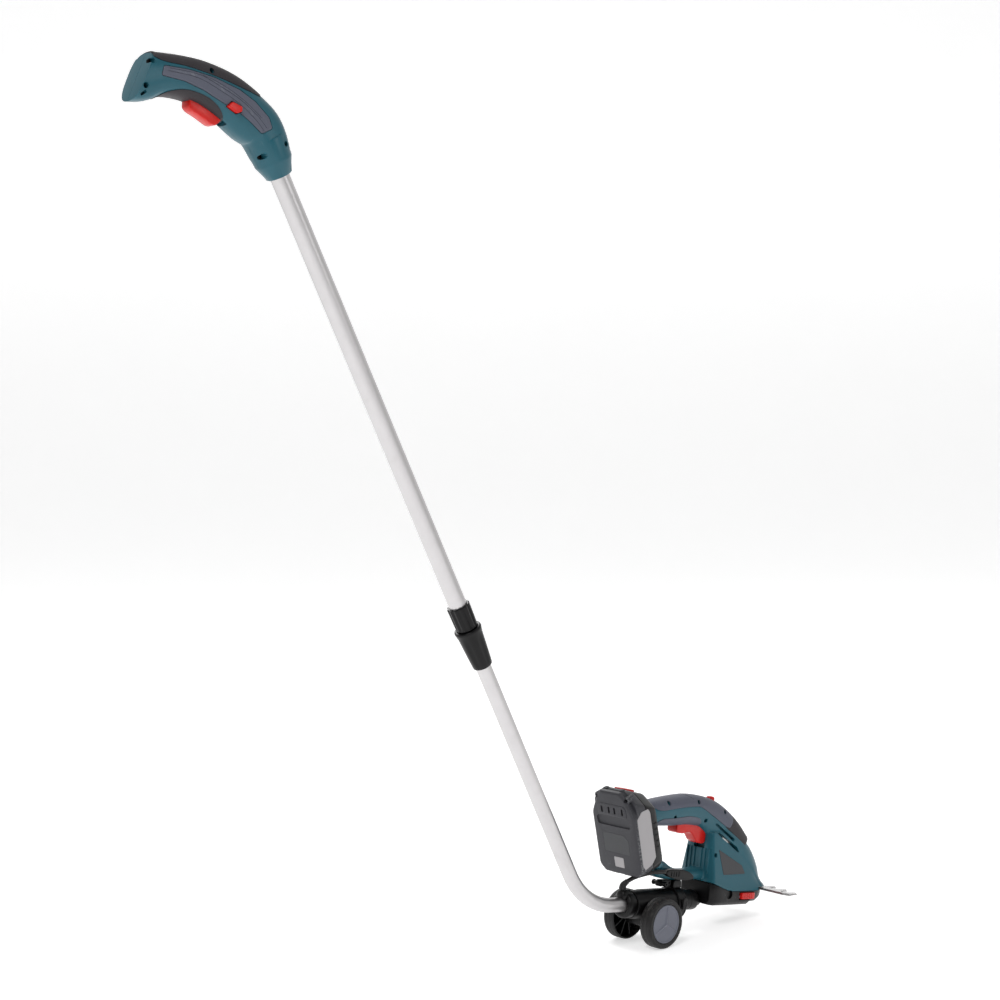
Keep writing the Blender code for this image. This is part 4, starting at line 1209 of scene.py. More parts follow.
@dataclass(frozen=True)
class Wheel:
    """One wheel: tyre, ribbed hub and hub cap with a three-armed ridge."""

    side: str
    sign: int
    inner: float = 23.6
    outer: float = 41.8
    radius: float = 32.7
    cap_radius: float = 25.0
    arms: tuple[float, ...] = (90.0, 214.0, 334.0)

    def across(self, profile: Outline) -> list[Pair]:
        """Turns a profile's widths to this wheel's side."""
        return [(self.sign * y, r) for y, r in profile]

    def tyre(self) -> Thing:
        """Turns the tyre with soft shoulders and two shallow tread lines."""
        i, o, r = self.inner, self.outer, self.radius
        profile = [(i + 0.6, 30.2), (i, 30.6), (i, 31.4), (i + 0.5, 32.0), (i + 1.4, r - 0.2),
                   (i + 3, r), (i + 5.6, r), (i + 5.9, r - 0.4), (i + 6.4, r - 0.4), (i + 6.7, r),
                   (o - 6.7, r), (o - 6.4, r - 0.4), (o - 5.9, r - 0.4), (o - 5.6, r), (o - 3.2, r - 0.1),
                   (o - 1.6, 32.1), (o - 0.5, 31.2),
                   (o, 30.0), (o, 27.2), (o - 0.6, 26.3), (o - 3, 26.3), (o - 3.3, 29.6)]
        return turned(f"wheel_tyre_{self.side}", self.across(profile), Axis.Y, steps=120)

    def hub(self) -> Thing:
        """Turns the hub and joins ten thin ribs between its sleeve and its rim."""
        i, o = self.inner, self.outer
        rim = [(o - 0.4, 25.4), (o - 0.4, 26.1), (o - 3.5, 26.1), (o - 3.5, 29.3), (o - 6, 29.3),
               (o - 6, 7.5),
               (i - 1.4, 7.2), (i - 1.4, 4.3), (o - 3.2, 4.3), (o - 3.2, 25.4)]
        hub = turned(f"wheel_hub_{self.side}", self.across(rim), Axis.Y, steps=96)
        for k in range(10):
            a = FULL_TURN * k / 10
            c, s = math.cos(a), math.sin(a)
            web = [(7 * c - 0.6 * s, 7 * s + 0.6 * c), (29.2 * c - 0.6 * s, 29.2 * s + 0.6 * c),
                   (29.2 * c + 0.6 * s, 29.2 * s - 0.6 * c), (7 * c + 0.6 * s, 7 * s - 0.6 * c)]
            ends = sorted((self.sign * (i + 4), self.sign * (o - 5)))
            combine(hub, Join.ADD, pulled("web", web, ends[0], ends[1], Axis.Y))
        return hub

    def cap(self) -> Thing:
        """Turns the slightly dished cap and joins its three tapering ridges."""
        o, r = self.outer, self.cap_radius
        dish = [(o - 2.9, 0), (o - 2.9, r), (o - 1.0, r), (o - 0.3, r - 0.4), (o, r - 1.2),
                (o - 0.1, r - 1.9),
                (o - 0.8, r - 2.6), (o - 0.9, 12), (o - 0.9, 0)]
        cap = turned(f"wheel_cap_{self.side}", self.across(dish), Axis.Y, steps=96)
        for degrees in self.arms:
            a = math.radians(degrees)
            along, across = Vector((math.cos(a), math.sin(a))), Vector((-math.sin(a), math.cos(a)))
            sections = []
            for far, half, high in ((0.0, 2.6, 1.5), (12.0, 1.8, 1.3), (r - 2.2, 1.2, 0.8)):
                foot, crown = self.sign * (o - 1.6), self.sign * (o - 0.9 + high)
                spots = ((-half, foot), (-half, self.sign * (o - 0.9)), (0.0, crown),
                         (half, self.sign * (o - 0.9)), (half, foot))
                sections.append([Vector((*(along * far + across * s), y)).xzy * MM for s, y in spots])
            combine(cap, Join.ADD, lofted("ridge", sections))
        return cap

    def build(self) -> None:
        """Builds and dresses the wheel."""
        body = f"wheel_{self.side}"
        place = PLACES.tool
        fit_out(set_down(self.tyre(), place), Finish.TYRE, body, f"tyre_{self.side}", smooth=50)
        fit_out(set_down(self.hub(), place), Finish.BLACK, body, f"hub_{self.side}")
        fit_out(set_down(self.cap(), place), Finish.CAP, body, f"hub_cap_{self.side}", smooth=20)


# ---------------------------------------------------------------- pole

@dataclass(frozen=True)
class Pole:
    """Bent lower tube, straight upper tube, twist nut and the ribbed sleeve above it."""

    lower_radius: float = 9.5
    upper_radius: float = 11.0
    wall: float = 1.2
    bend_radius: float = 104.0
    overlap: float = 262.0
    upper_length: float = 690.0
    nut_length: float = 53.5
    sleeve_length: float = 31.0

    def bent_line(self) -> list[Vector]:
        """The lower tube's centre line in the row frame, from the barrel into the upper tube."""
        barrel, pole = PLACES.tool, PLACES.pole
        start = barrel @ Vector((0, 0, BARREL_UP * MM))
        back = (barrel.to_3x3() @ Vector((-1, 0, 0))).normalized()
        foot, up = pole @ Vector((0, 0, 0)), (pole.to_3x3() @ Vector((0, 0, 1))).normalized()
        gap = foot - start
        reach = (gap.x * up.z - gap.z * up.x) / (back.x * up.z - back.z * up.x)
        corner = start + back * reach
        half_turn = (math.pi - (-back).angle(up)) / 2
        radius = self.bend_radius * MM
        length = radius * math.tan(half_turn)
        middle = corner + (up - back).normalized() * (radius / math.cos(half_turn))
        spoke = corner - back * length - middle
        line = [start - back * 0.022, start + back * 0.031]
        for k in range(33):
            turn = Matrix.Rotation(2 * half_turn * k / 32, 3, "Y")
            line.append(middle + turn @ spoke)
        return [*line, foot, foot + up * self.overlap * MM]

    def lower(self) -> Thing:
        """Sweeps the lower tube along its line."""
        line = self.bent_line()
        rings = []
        for i, here in enumerate(line):
            tangent = (line[min(i + 1, len(line) - 1)] - line[max(i - 1, 0)]).normalized()
            side = tangent.cross(Vector((0, 1, 0))).normalized()
            across, radius = Vector((0, 1, 0)), self.lower_radius
            rings.append([here + (side * math.cos(a) + across * math.sin(a)) * radius * MM
                          for a in (FULL_TURN * j / 64 for j in range(64))])
        return lofted("bent_tube", rings)

    def upper(self) -> Thing:
        """Turns the upper tube with its open ends."""
        inner = self.upper_radius - self.wall
        profile = [(16, inner), (16, self.upper_radius - 0.3), (16.3, self.upper_radius)]
        profile += [(self.upper_length, self.upper_radius), (self.upper_length, inner)]
        return turned("straight_tube", profile, Axis.Z)

    def fluted(self, name: str, profile: Outline, count: int, depth: Callable[[float], float],
               sharp: float = 1.0) -> Thing:
        """Lofts a round piece whose skin is hollowed by lengthwise flutes.

        Args:
            name: Name of the piece.
            profile: (height, radius) points of its skin.
            count: Number of flutes.
            depth: Depth of the flutes at a height.
            sharp: Above 1 the flutes are narrower than what stands between them.

        Returns:
            The solid, still without its bore.
        """
        around = count * 12
        rings = []
        for height, radius in profile:
            ring = []
            for j in range(around):
                a = FULL_TURN * j / around
                flute = (0.5 - 0.5 * math.cos(a * count)) ** sharp
                r = radius - depth(height) * flute
                ring.append(Vector((r * math.cos(a), r * math.sin(a), height)) * MM)
            rings.append(ring)
        return lofted(name, rings)

    def nut(self) -> Thing:
        """Lofts the tapering twist nut with broad soft flutes under a round lip."""
        top = self.nut_length
        profile = [(0, 11.4), (0.6, 12.0), (1.6, 12.5), (6, 13.0), (16, 13.9), (28, 14.8), (38, 15.4),
                   (44, 15.8),
                   (47, 16.1), (49, 16.5), (50.5, 16.9), (52.2, 16.9), (53.1, 16.5), (top, 15.8)]
        nut = self.fluted("twist_collar", profile, 6,
                          lambda z: 1.3 * math.sin(math.pi * min(z / 46, 1)) ** 0.6, 2)
        for name, radius, low in (("bore", 9.9, -5), ("wide_bore", 11.3, 3), ("mouth", 13.9, 49.5)):
            combine(nut, Join.CUT, rod(name, radius, low, 80, Axis.Z, (0, 0, 0)))
        return nut

    def sleeve(self) -> Thing:
        """Lofts the sleeve with twelve lengthwise ribs above its plain foot."""
        low, high = self.nut_length - 2.6, self.nut_length + 1.2 + self.sleeve_length
        profile = [(low, 12.4), (low + 4, 12.6), (low + 4.6, 13.5), (low + 8, 13.6), (high - 2, 14.2),
                   (high - 0.8, 14.2), (high, 13.6)]
        sleeve = self.fluted("ribbed_sleeve", profile, 12, lambda z: 1.25 if z > low + 5 else 0.0, 1)
        combine(sleeve, Join.CUT, rod("bore", 11.25, 0, 120, Axis.Z, (0, 0, 0)))
        return sleeve

    def build(self) -> None:
        """Builds and dresses the tubes, the nut and the sleeve."""
        fit_out(self.lower(), Finish.ALUMINIUM, "chassis", "lower_tube")
        fit_out(set_down(self.upper(), PLACES.pole), Finish.ALUMINIUM, "pole_upper", "upper_tube")
        fit_out(set_down(self.nut(), PLACES.pole), Finish.BLACK, "nut", "twist_nut", smooth=45)
        fit_out(set_down(self.sleeve(), PLACES.pole), Finish.BLACK, "pole_upper", "grip_sleeve", smooth=45)
        repaint(Finish.BLACK, "clamp_collet")


# ---------------------------------------------------------------- pole handle

@dataclass(frozen=True)
class PoleHandle:
    """Curved two-shell handle on top of the pole, with its grips, panels, trigger and lock button."""

    spine: Spine = Spine((
        (-790, 1038.8, 25.8, 19), (-762, 1040.8, 25.8, 19), (-741, 1044.3, 21.8, 19.5),
        (-716, 1044.9, 21.4, 19.5), (-688, 1041.3, 22.8, 19.5), (-657, 1030, 26, 20),
        (-630, 1014, 27, 21), (-611, 1001, 24.5, 21.5), (-597, 977, 20.5, 20.5),
        (-585.5, 955.5, 13.6, 13.6)), steps=8)
    shell_screws: tuple[Triple, ...] = ((-754.5, 1054.5, 9), (-763, 1029, 9), (-615.5, 972, 4.5),
                                        (-591, 987, 9))
    grip_screw: Triple = (-684, 1053, 9)
    top_edge: Outline = ((-762, 1066), (-751, 1059), (-739, 1055.5), (-715, 1054), (-679, 1048), (-647, 1040),
                         (-622, 1033.5))
    panel: Outline = ((-742, 1051), (-745, 1041), (-718, 1038.5), (-694, 1032), (-667, 1020.5),
                      (-650, 1013.6), (-638, 1006), (-622.5, 994.6), (-610, 1001), (-614, 1012), (-631, 1027),
                      (-650, 1037), (-681, 1046), (-712, 1050.5))
    under_edge: Outline = ((-750, 1016), (-744.5, 1020), (-735, 1026), (-720, 1029.7), (-705, 1029.5),
                           (-686.5, 1024.7), (-672, 1015), (-664, 1003), (-664, 994))
    trigger_line: Outline = ((-704.5, 1024), (-705, 1015), (-701, 1011.3), (-690, 1006.6), (-676.5, 999.6),
                             (-671.5, 999.4), (-663.5, 1006.5), (-664.3, 1011), (-680, 1022), (-697, 1028.5))
    engraving: tuple[Outline, ...] = (
        ((-736, 1049), (-700, 1046.5), (-672, 1036.5), (-648, 1025.5), (-628, 1011), (-617, 1000)),
        ((-738, 1046), (-702, 1043), (-674, 1033), (-650, 1021.5), (-631, 1007.5), (-620.5, 997)),
        ((-722, 1048.7), (-690, 1045.2), (-664, 1036), (-642, 1024), (-624, 1010.5)))
    button_line: Outline = ((-666, 1018.6), (-660.5, 1023.4), (-649, 1019.4), (-649, 1014.6),
                            (-654.2, 1012.4))

    def inlays(self) -> list[Inlay]:
        """The skins that are let into the shells."""
        top = [*flowing(self.top_edge, 3), (-600, 1062), (-640, 1092), (-700, 1100), (-772, 1092)]
        under = [*flowing(self.under_edge, 3), (-668, 980), (-700, 985), (-755, 1002)]
        panel = rounded(self.panel, 2.0, 3)
        return [Inlay("top_skin", top, -40, 40, rise=0.7), Inlay("under_skin", under, -40, 40, rise=0.6),
                Inlay("panel_skin_right", panel, -40, -4, rise=0.1, gap=0.75),
                Inlay("panel_skin_left", panel, 4, 40, rise=0.1, gap=0.75)]

    def engrave(self, skin: Thing) -> None:
        """Cuts the fine lines that run along a side panel."""
        grooves = self.spine.body("grooves", 2.0)
        combine(grooves, Join.CUT, self.spine.body("core", -0.45))
        for line in self.engraving:
            path = flowing(line, 4)
            strip = [*path, *[(x + 0.25, z + 0.65) for x, z in reversed(path)]]
            groove = copy_of(grooves, "groove")
            combine(groove, Join.KEEP, pulled("strip", strip, -40, 40, Axis.Y))
            combine(skin, Join.CUT, groove)
        bpy.data.objects.remove(grooves)

    def behind(self, ahead: float) -> Thing:
        """Makes the cutter for everything behind the leaning end, moved forward by a distance."""
        off = [(-850, 1100), (-736, 1100), (-776.5, 1008), (-776.5, 980), (-850, 980)]
        return pulled("off", [(x + ahead, z) for x, z in off], -40, 40, Axis.Y)

    def rear_end(self, shell: Thing) -> None:
        """Cuts the leaning flat end, rounds its rim and cuts the strap's slot."""
        combine(shell, Join.CUT, self.behind(0.0))
        soften(shell, 3.0, segments=5, angle=35)
        for low, high in ((-40, -10), (10, 40)):
            slot = rounded([(-768, 1020.5), (-765.5, 1018.5), (-760.5, 1022.5), (-762.5, 1025)], 1.0, 3)
            combine(shell, Join.CUT, pulled("slot", slot, low, high, Axis.Y))

    def cuff(self, shell: Thing) -> Thing:
        """Joins the round cuff that takes the tube, with its raised step."""
        profile = [(633.2, 0), (633.2, 13.2), (634.2, 14.2), (648.6, 20.3), (650.4, 21.2), (652, 21.4),
                   (673.5, 22.9), (675.5, 22.6), (677, 20.8), (677, 0)]
        cuff = set_down(turned("cuff", profile, Axis.Z, steps=72), PLACES.ground.inverted() @ PLACES.pole)
        return combine(shell, Join.ADD, cuff)

    def drill(self, shell: Thing) -> None:
        """Cuts the tube's socket, the trigger's slot and the button's window."""
        socket = rod("socket", 11.4, 560, 640, Axis.Z, (0, 0, 0), 64)
        set_down(socket, PLACES.ground.inverted() @ PLACES.pole)
        way = [(-707, 1034), (-707.5, 1000), (-664, 975), (-656.8, 1011.5), (-673, 1028)]
        trigger_way = pulled("trigger_way", way, -8.0, 8.0, Axis.Y)
        window = pulled("window", spread(self.button_line, 1.1), -40, 40, Axis.Y)
        combine(shell, Join.CUT, socket, trigger_way, window)

    def counterbores(self, thing: Thing, spots: list[Triple]) -> None:
        """Cuts a screw hole into the right side at each spot.

        Args:
            thing: The piece that is drilled.
            spots: Where the holes are from the side, and how far from the middle plane they reach.
        """
        for x, z, deep in spots:
            combine(thing, Join.CUT, rod("hole", 3.1, -40, -deep, Axis.Y, (x, 0, z), 36))

    def screws(self, spots: list[Triple]) -> None:
        """Sets a recessed cross-head screw in each hole."""
        for k, spot in enumerate(spots):
            screw = cross_screw(f"handle_screw_{k + 1}", spot, (2.3, 2.2), (1.6, 0.35, 1.2))
            fit_out(set_down(screw, PLACES.ground), Finish.SCREW, "pole_upper")

    def trigger(self) -> Thing:
        """Makes the trigger with its bevelled front facet."""
        trigger = pulled("pole_trigger_lever", rounded(self.trigger_line, 1.6, 2), -7.4, 7.4, Axis.Y)
        return soften(trigger, 1.5, segments=2, angle=40)

    def lock_button(self) -> Thing:
        """Makes the lock button that shows on both sides."""
        button = pulled("pole_lock_slider", rounded(self.button_line, 1.0, 3), -22.6, 22.6, Axis.Y)
        return soften(button, 0.8, segments=3, angle=50)

    def build(self) -> None:
        """Builds and dresses the shells, skins, controls and screws of the handle."""
        shell = self.spine.body("handle_shell")
        self.rear_end(shell)
        self.cuff(shell)
        skins = [inlay.fit(self.spine, shell) for inlay in self.inlays()]
        combine(skins[0], Join.CUT, self.behind(2.2))
        self.drill(shell)
        self.counterbores(shell, [*self.shell_screws, self.grip_screw])
        self.counterbores(skins[0], [(*self.grip_screw[:2], 4.0)])
        for skin in skins[2:]:
            self.engrave(skin)
            window = pulled("window", spread(self.button_line, 1.4), -40, 40, Axis.Y)
            combine(skin, Join.CUT, window)
        for side, half in split_halves(shell, "handle_half"):
            fit_out(set_down(half, PLACES.ground), Finish.TEAL, "pole_upper", f"handle_shell_{side}")
        finishes = (Finish.CHARCOAL, Finish.CHARCOAL, Finish.SLATE, Finish.SLATE)
        nodes = ("top_grip_pole", "under_grip", "side_panel_right", "side_panel_left")
        for skin, finish, node in zip(skins, finishes, nodes):
            fit_out(set_down(skin, PLACES.ground), finish, "pole_upper", node)
        fit_out(set_down(self.trigger(), PLACES.ground), Finish.RED, "pole_trigger", "handle_trigger")
        fit_out(set_down(self.lock_button(), PLACES.ground), Finish.RED, "pole_lock", "handle_lock_button")
        self.screws([*self.shell_screws, self.grip_screw])
        repaint(Finish.BLACK, "handle_switch")


# ---------------------------------------------------------------- shear

@dataclass(frozen=True)
class ShearBody:
    """Motor body, top handle, post and foot of the shear, in two shells with soft grips."""

    spine: Spine = Spine((
        (-27, 138, 14, 15), (-12, 139, 16, 17), (8, 140.5, 18, 17.8), (34, 142.5, 19.5, 18),
        (60, 144, 20.2, 18), (86, 141.5, 21, 18.2), (108, 133.5, 24, 18.8), (128, 121, 27, 20),
        (146, 106, 30, 21.5), (160, 90, 33, 23)), steps=7)
    bar: Spine = Spine(((-2, 67, 9, 11), (14, 66, 12, 12), (32, 60.5, 9.3, 12), (52, 57.8, 7, 12),
                        (78, 57.3, 6.8, 12.5), (110, 58, 9, 14)), square=3.2, steps=5)
    levels: Outline = ((34, 226), (42, 227), (47, 221), (53, 215), (60, 212), (68, 210), (81, 203), (94, 193),
                       (106, 178), (116, 160))
    rear: float = 102.0
    screws: Outline = ((106, 85.7), (-16.7, 134.4), (23.3, 135.2), (86.8, 131.4))
    grip_screws: Outline = ((10.3, 153.6), (69.6, 155.8), (126.7, 143))
    top_edge: Outline = ((-40, 153), (-25, 150), (-6, 144), (29.5, 148), (64, 150.3), (77, 148.4), (104, 136),
                         (130, 123), (138, 124.2), (144, 132))
    nose_edge: Outline = ((127, 123), (142, 115), (161, 104), (185, 89.4))
    lower_edge: Outline = ((-11.4, 126), (0, 132.6), (23.7, 134), (52, 136.8), (73, 134.2), (80, 127))
    panel_line: Outline = ((-26, 158.5), (-12, 152.5), (2, 150.2), (30, 152.6), (56, 155.8), (61, 157.5),
                           (55, 162),
                           (44, 168))
    plate: Outline = ((113, 93), (161, 71.8), (167.5, 61), (121.7, 60))
    vents: tuple[Outline, ...] = (((106, 126), (109, 128.5), (146, 107), (143, 103.5)),
                                  ((111, 113.7), (114, 116), (151, 96.5), (156.5, 89), (151, 90.5)))

    def reach(self, z: float) -> float:
        """Half width of the motor body at a height."""
        return 30.8 - 0.155 * (z - 50)

    def level(self, z: float, front: float) -> list[Vector]:
        """Plan of the motor body at one height: square at the rear, round at the nose.

        Args:
            z: The height.
            front: Where the nose ends.

        Returns:
            The ring's points.
        """
        half = self.reach(z)
        nose = min(34.0, front - self.rear - 6)
        ring = [(self.rear - 3, -half + 9), (self.rear - 1.2, -half + 3), (self.rear, -half)]
        for k in range(33):
            a = math.pi * (k / 32 - 0.5)
            ring.append((front - nose + nose * max(math.cos(a), 0.0) ** 0.8, half * math.sin(a)))
        ring += [(self.rear, half), (self.rear - 1.2, half - 3), (self.rear - 3, half - 9)]
        return [Vector((x, y, z)) * MM for x, y in ring]

    def form(self) -> Thing:
        """Joins the shear's main forms and melts them into one skin."""
        shell = self.spine.body("shear_form")
        motor = lofted("motor_form", [self.level(*level) for level in flowing(self.levels, 4)])
        post = soften(block("post", (22.4, -16.5, 60), (36.6, 16.5, 146)), 4.5, segments=4)
        set_down(post, PLACES.tool.inverted() @ PLACES.battery)
        combine(shell, Join.ADD, motor, post, self.bar.body("bar"))
        brow = pulled("brow", rounded([(118, 121), (150, 98), (178, 74), (200, 50), (206, 42), (222, 42),
                                       (212, 64),
                                       (196, 92), (170, 118), (140, 134)], 6), -60, 60, Axis.Y)
        ribs = lofted("brow_form", [self.level(z, front + 1.0) for z, front in flowing(self.levels, 2)])
        wide = ribs.modifiers.new("proud", "DISPLACE")
        wide.strength = 1.1 * MM
        wide.mid_level = 0.0
        apply_all(ribs)
        combine(ribs, Join.KEEP, brow)
        combine(shell, Join.ADD, ribs)
        return melt(shell, 1.25, 7)

    def inlays(self) -> list[Inlay]:
        """The soft skins on the handle."""
        top = [*flowing(self.top_edge, 3), (150, 150), (120, 185), (60, 190), (-40, 185)]
        nose = [*flowing(self.nose_edge, 3), (205, 95), (170, 135), (146, 138), (141, 126), (133, 122)]
        lower = [*flowing(self.lower_edge, 3), (70, 118), (30, 116), (-6, 118)]
        return [Inlay("grip_skin", top, -40, 40, rise=0.5), Inlay("nose_skin", nose, -40, 40, rise=0.45),
                Inlay("lower_skin", lower, -40, 40, rise=0.5)]

    def hollow(self, shell: Thing) -> None:
        """Cuts the room for the shoe, the battery, the controls, the blades and the drive."""
        below = [(60, 49.4), (101, 49.3), (120, 42.6), (136, 38.3), (150, 38), (250, 38), (250, 0), (60, 0)]
        combine(shell, Join.CUT, pulled("below", below, -60, 60, Axis.Y))
        pack = set_down(block("pack", (-60, -45, 40), (22.3, 45, 215)),
                        PLACES.tool.inverted() @ PLACES.battery)
        combine(shell, Join.CUT, pack)
        way = [(36.5, 100), (106, 92), (108, 116), (88, 133), (37, 133)]
        combine(shell, Join.CUT, pulled("trigger_way", way, -9.3, 9.3, Axis.Y))
        combine(shell, Join.CUT, rod("button_way", 6.3, 150, 175, Axis.Z, (112, 0, 0)))
        combine(shell, Join.CUT, block("comb_way", (197, -50, 30), (260, 50, 42.7)))
        combine(shell, Join.CUT, block("drive_way", (119, -21.6, 30), (200, 21.6, 46)))
        arch = rod("arch", 6.0, -60, 60, Axis.Y, (136, 0, 33.5), 40)
        combine(shell, Join.CUT, arch)

    def details(self, shell: Thing) -> None:
        """Cuts the vents, the plates' seats and the right side's screw holes, and adds the rear ribs."""
        for face in (-1, 1):
            for vent in self.vents:
                slot = pulled("vent", rounded(vent, 1.2, 3), face * 14.5, face * 45, Axis.Y)
                combine(shell, Join.CUT, slot)
            seat = self.plate_slab(0.35, face, 0.5, 3.0)
            combine(shell, Join.CUT, seat)
        for y in (-19, -12.5, -6, 6, 12.5, 19):
            rib = soften(block("rib", (self.rear - 4.4, y - 0.7, 60), (self.rear - 1, y + 0.7, 93)), 0.35, 2)
            combine(shell, Join.ADD, rib)
        for x, z in self.screws:
            deep = 22.0 if z < 100 else 12.5
            combine(shell, Join.CUT, rod("hole", 3.1, -50, -deep + 5, Axis.Y, (x, 0, z), 36))

    def engrave(self, skin: Thing) -> None:
        """Cuts the panel line into the top grip's sides."""
        path = flowing(self.panel_line, 3)
        groove = self.spine.body("groove", 2.5)
        combine(groove, Join.CUT, self.spine.body("core", -0.2))
        strip = [*path, *[(x, z + 0.8) for x, z in reversed(path)]]
        combine(groove, Join.KEEP, pulled("strip", strip, -40, 40, Axis.Y))
        combine(skin, Join.CUT, groove)

    def plate_slab(self, gap: float, face: int, sunk: float, proud: float) -> Thing:
        """Makes a slab that follows the leaning side of the body under the rating plate.

        Args:
            gap: How much larger than the plate it is.
            face: -1 for the right side and 1 for the left.
            sunk: How deep its back lies in the side.
            proud: How far its front stands out.

        Returns:
            The slab.
        """
        outline = spread(rounded(self.plate, 1.5, 3), gap)
        rings = [[Vector((x, face * (self.reach(z) + depth), z)) * MM for x, z in outline]
                 for depth in (-sunk, proud)]
        return lofted("rating_plate", rings)

    def fill_screws(self) -> None:
        """Sets a recessed screw in each hole of the right shell and the grip; its near-black colour is
        painted shade of the hole.
        """
        spots = [(x, z, 17.0 if z < 100 else 7.5) for x, z in self.screws]
        spots += [(x, z, 6.5) for x, z in self.grip_screws]
        for k, spot in enumerate(spots):
            screw = cross_screw(f"shear_screw_{k + 1}", spot, (2.2, 1.9), (1.5, 0.33, 1.0))
            fit_out(set_down(screw, PLACES.tool), Finish.SCREW, "chassis")

    def build(self) -> None:
        """Builds and dresses the shells, the grips, the plates and the screws."""
        tool = PLACES.tool
        shell = self.form()
        skins = [inlay.fit(self.spine, shell) for inlay in self.inlays()]
        self.hollow(shell)
        self.details(shell)
        self.engrave(skins[0])
        for x, z in self.grip_screws:
            combine(skins[0], Join.CUT, rod("hole", 3.0, -50, -6, Axis.Y, (x, 0, z), 36))
            combine(shell, Join.CUT, rod("hole", 3.0, -50, -6, Axis.Y, (x, 0, z), 36))
        combine(skins[0], Join.CUT, rod("way", 6.3, 150, 175, Axis.Z, (112, 0, 0)))
        combine(skins[2], Join.CUT, block("way", (36.5, -9.3, 90), (108, 9.3, 136)))
        for side, half in split_halves(shell, "shear_half"):
            fit_out(set_down(half, tool), Finish.TEAL, "chassis", f"shear_shell_{side}", smooth=28)
        finishes = (Finish.SLATE, Finish.CHARCOAL, Finish.SLATE)
        for skin, finish, node in zip(skins, finishes, ("top_grip_shear", "nose_strip", "lower_grip")):
            fit_out(set_down(skin, tool), finish, "chassis", node)
        for face, side in SIDES:
            plate = self.plate_slab(0.0, face, 0.3, 0.3)
            plate.name = f"rating_plate_{side}"
            fit_out(set_down(plate, tool), Finish.PLATE, "chassis", f"side_plate_{side}")
        self.fill_screws()


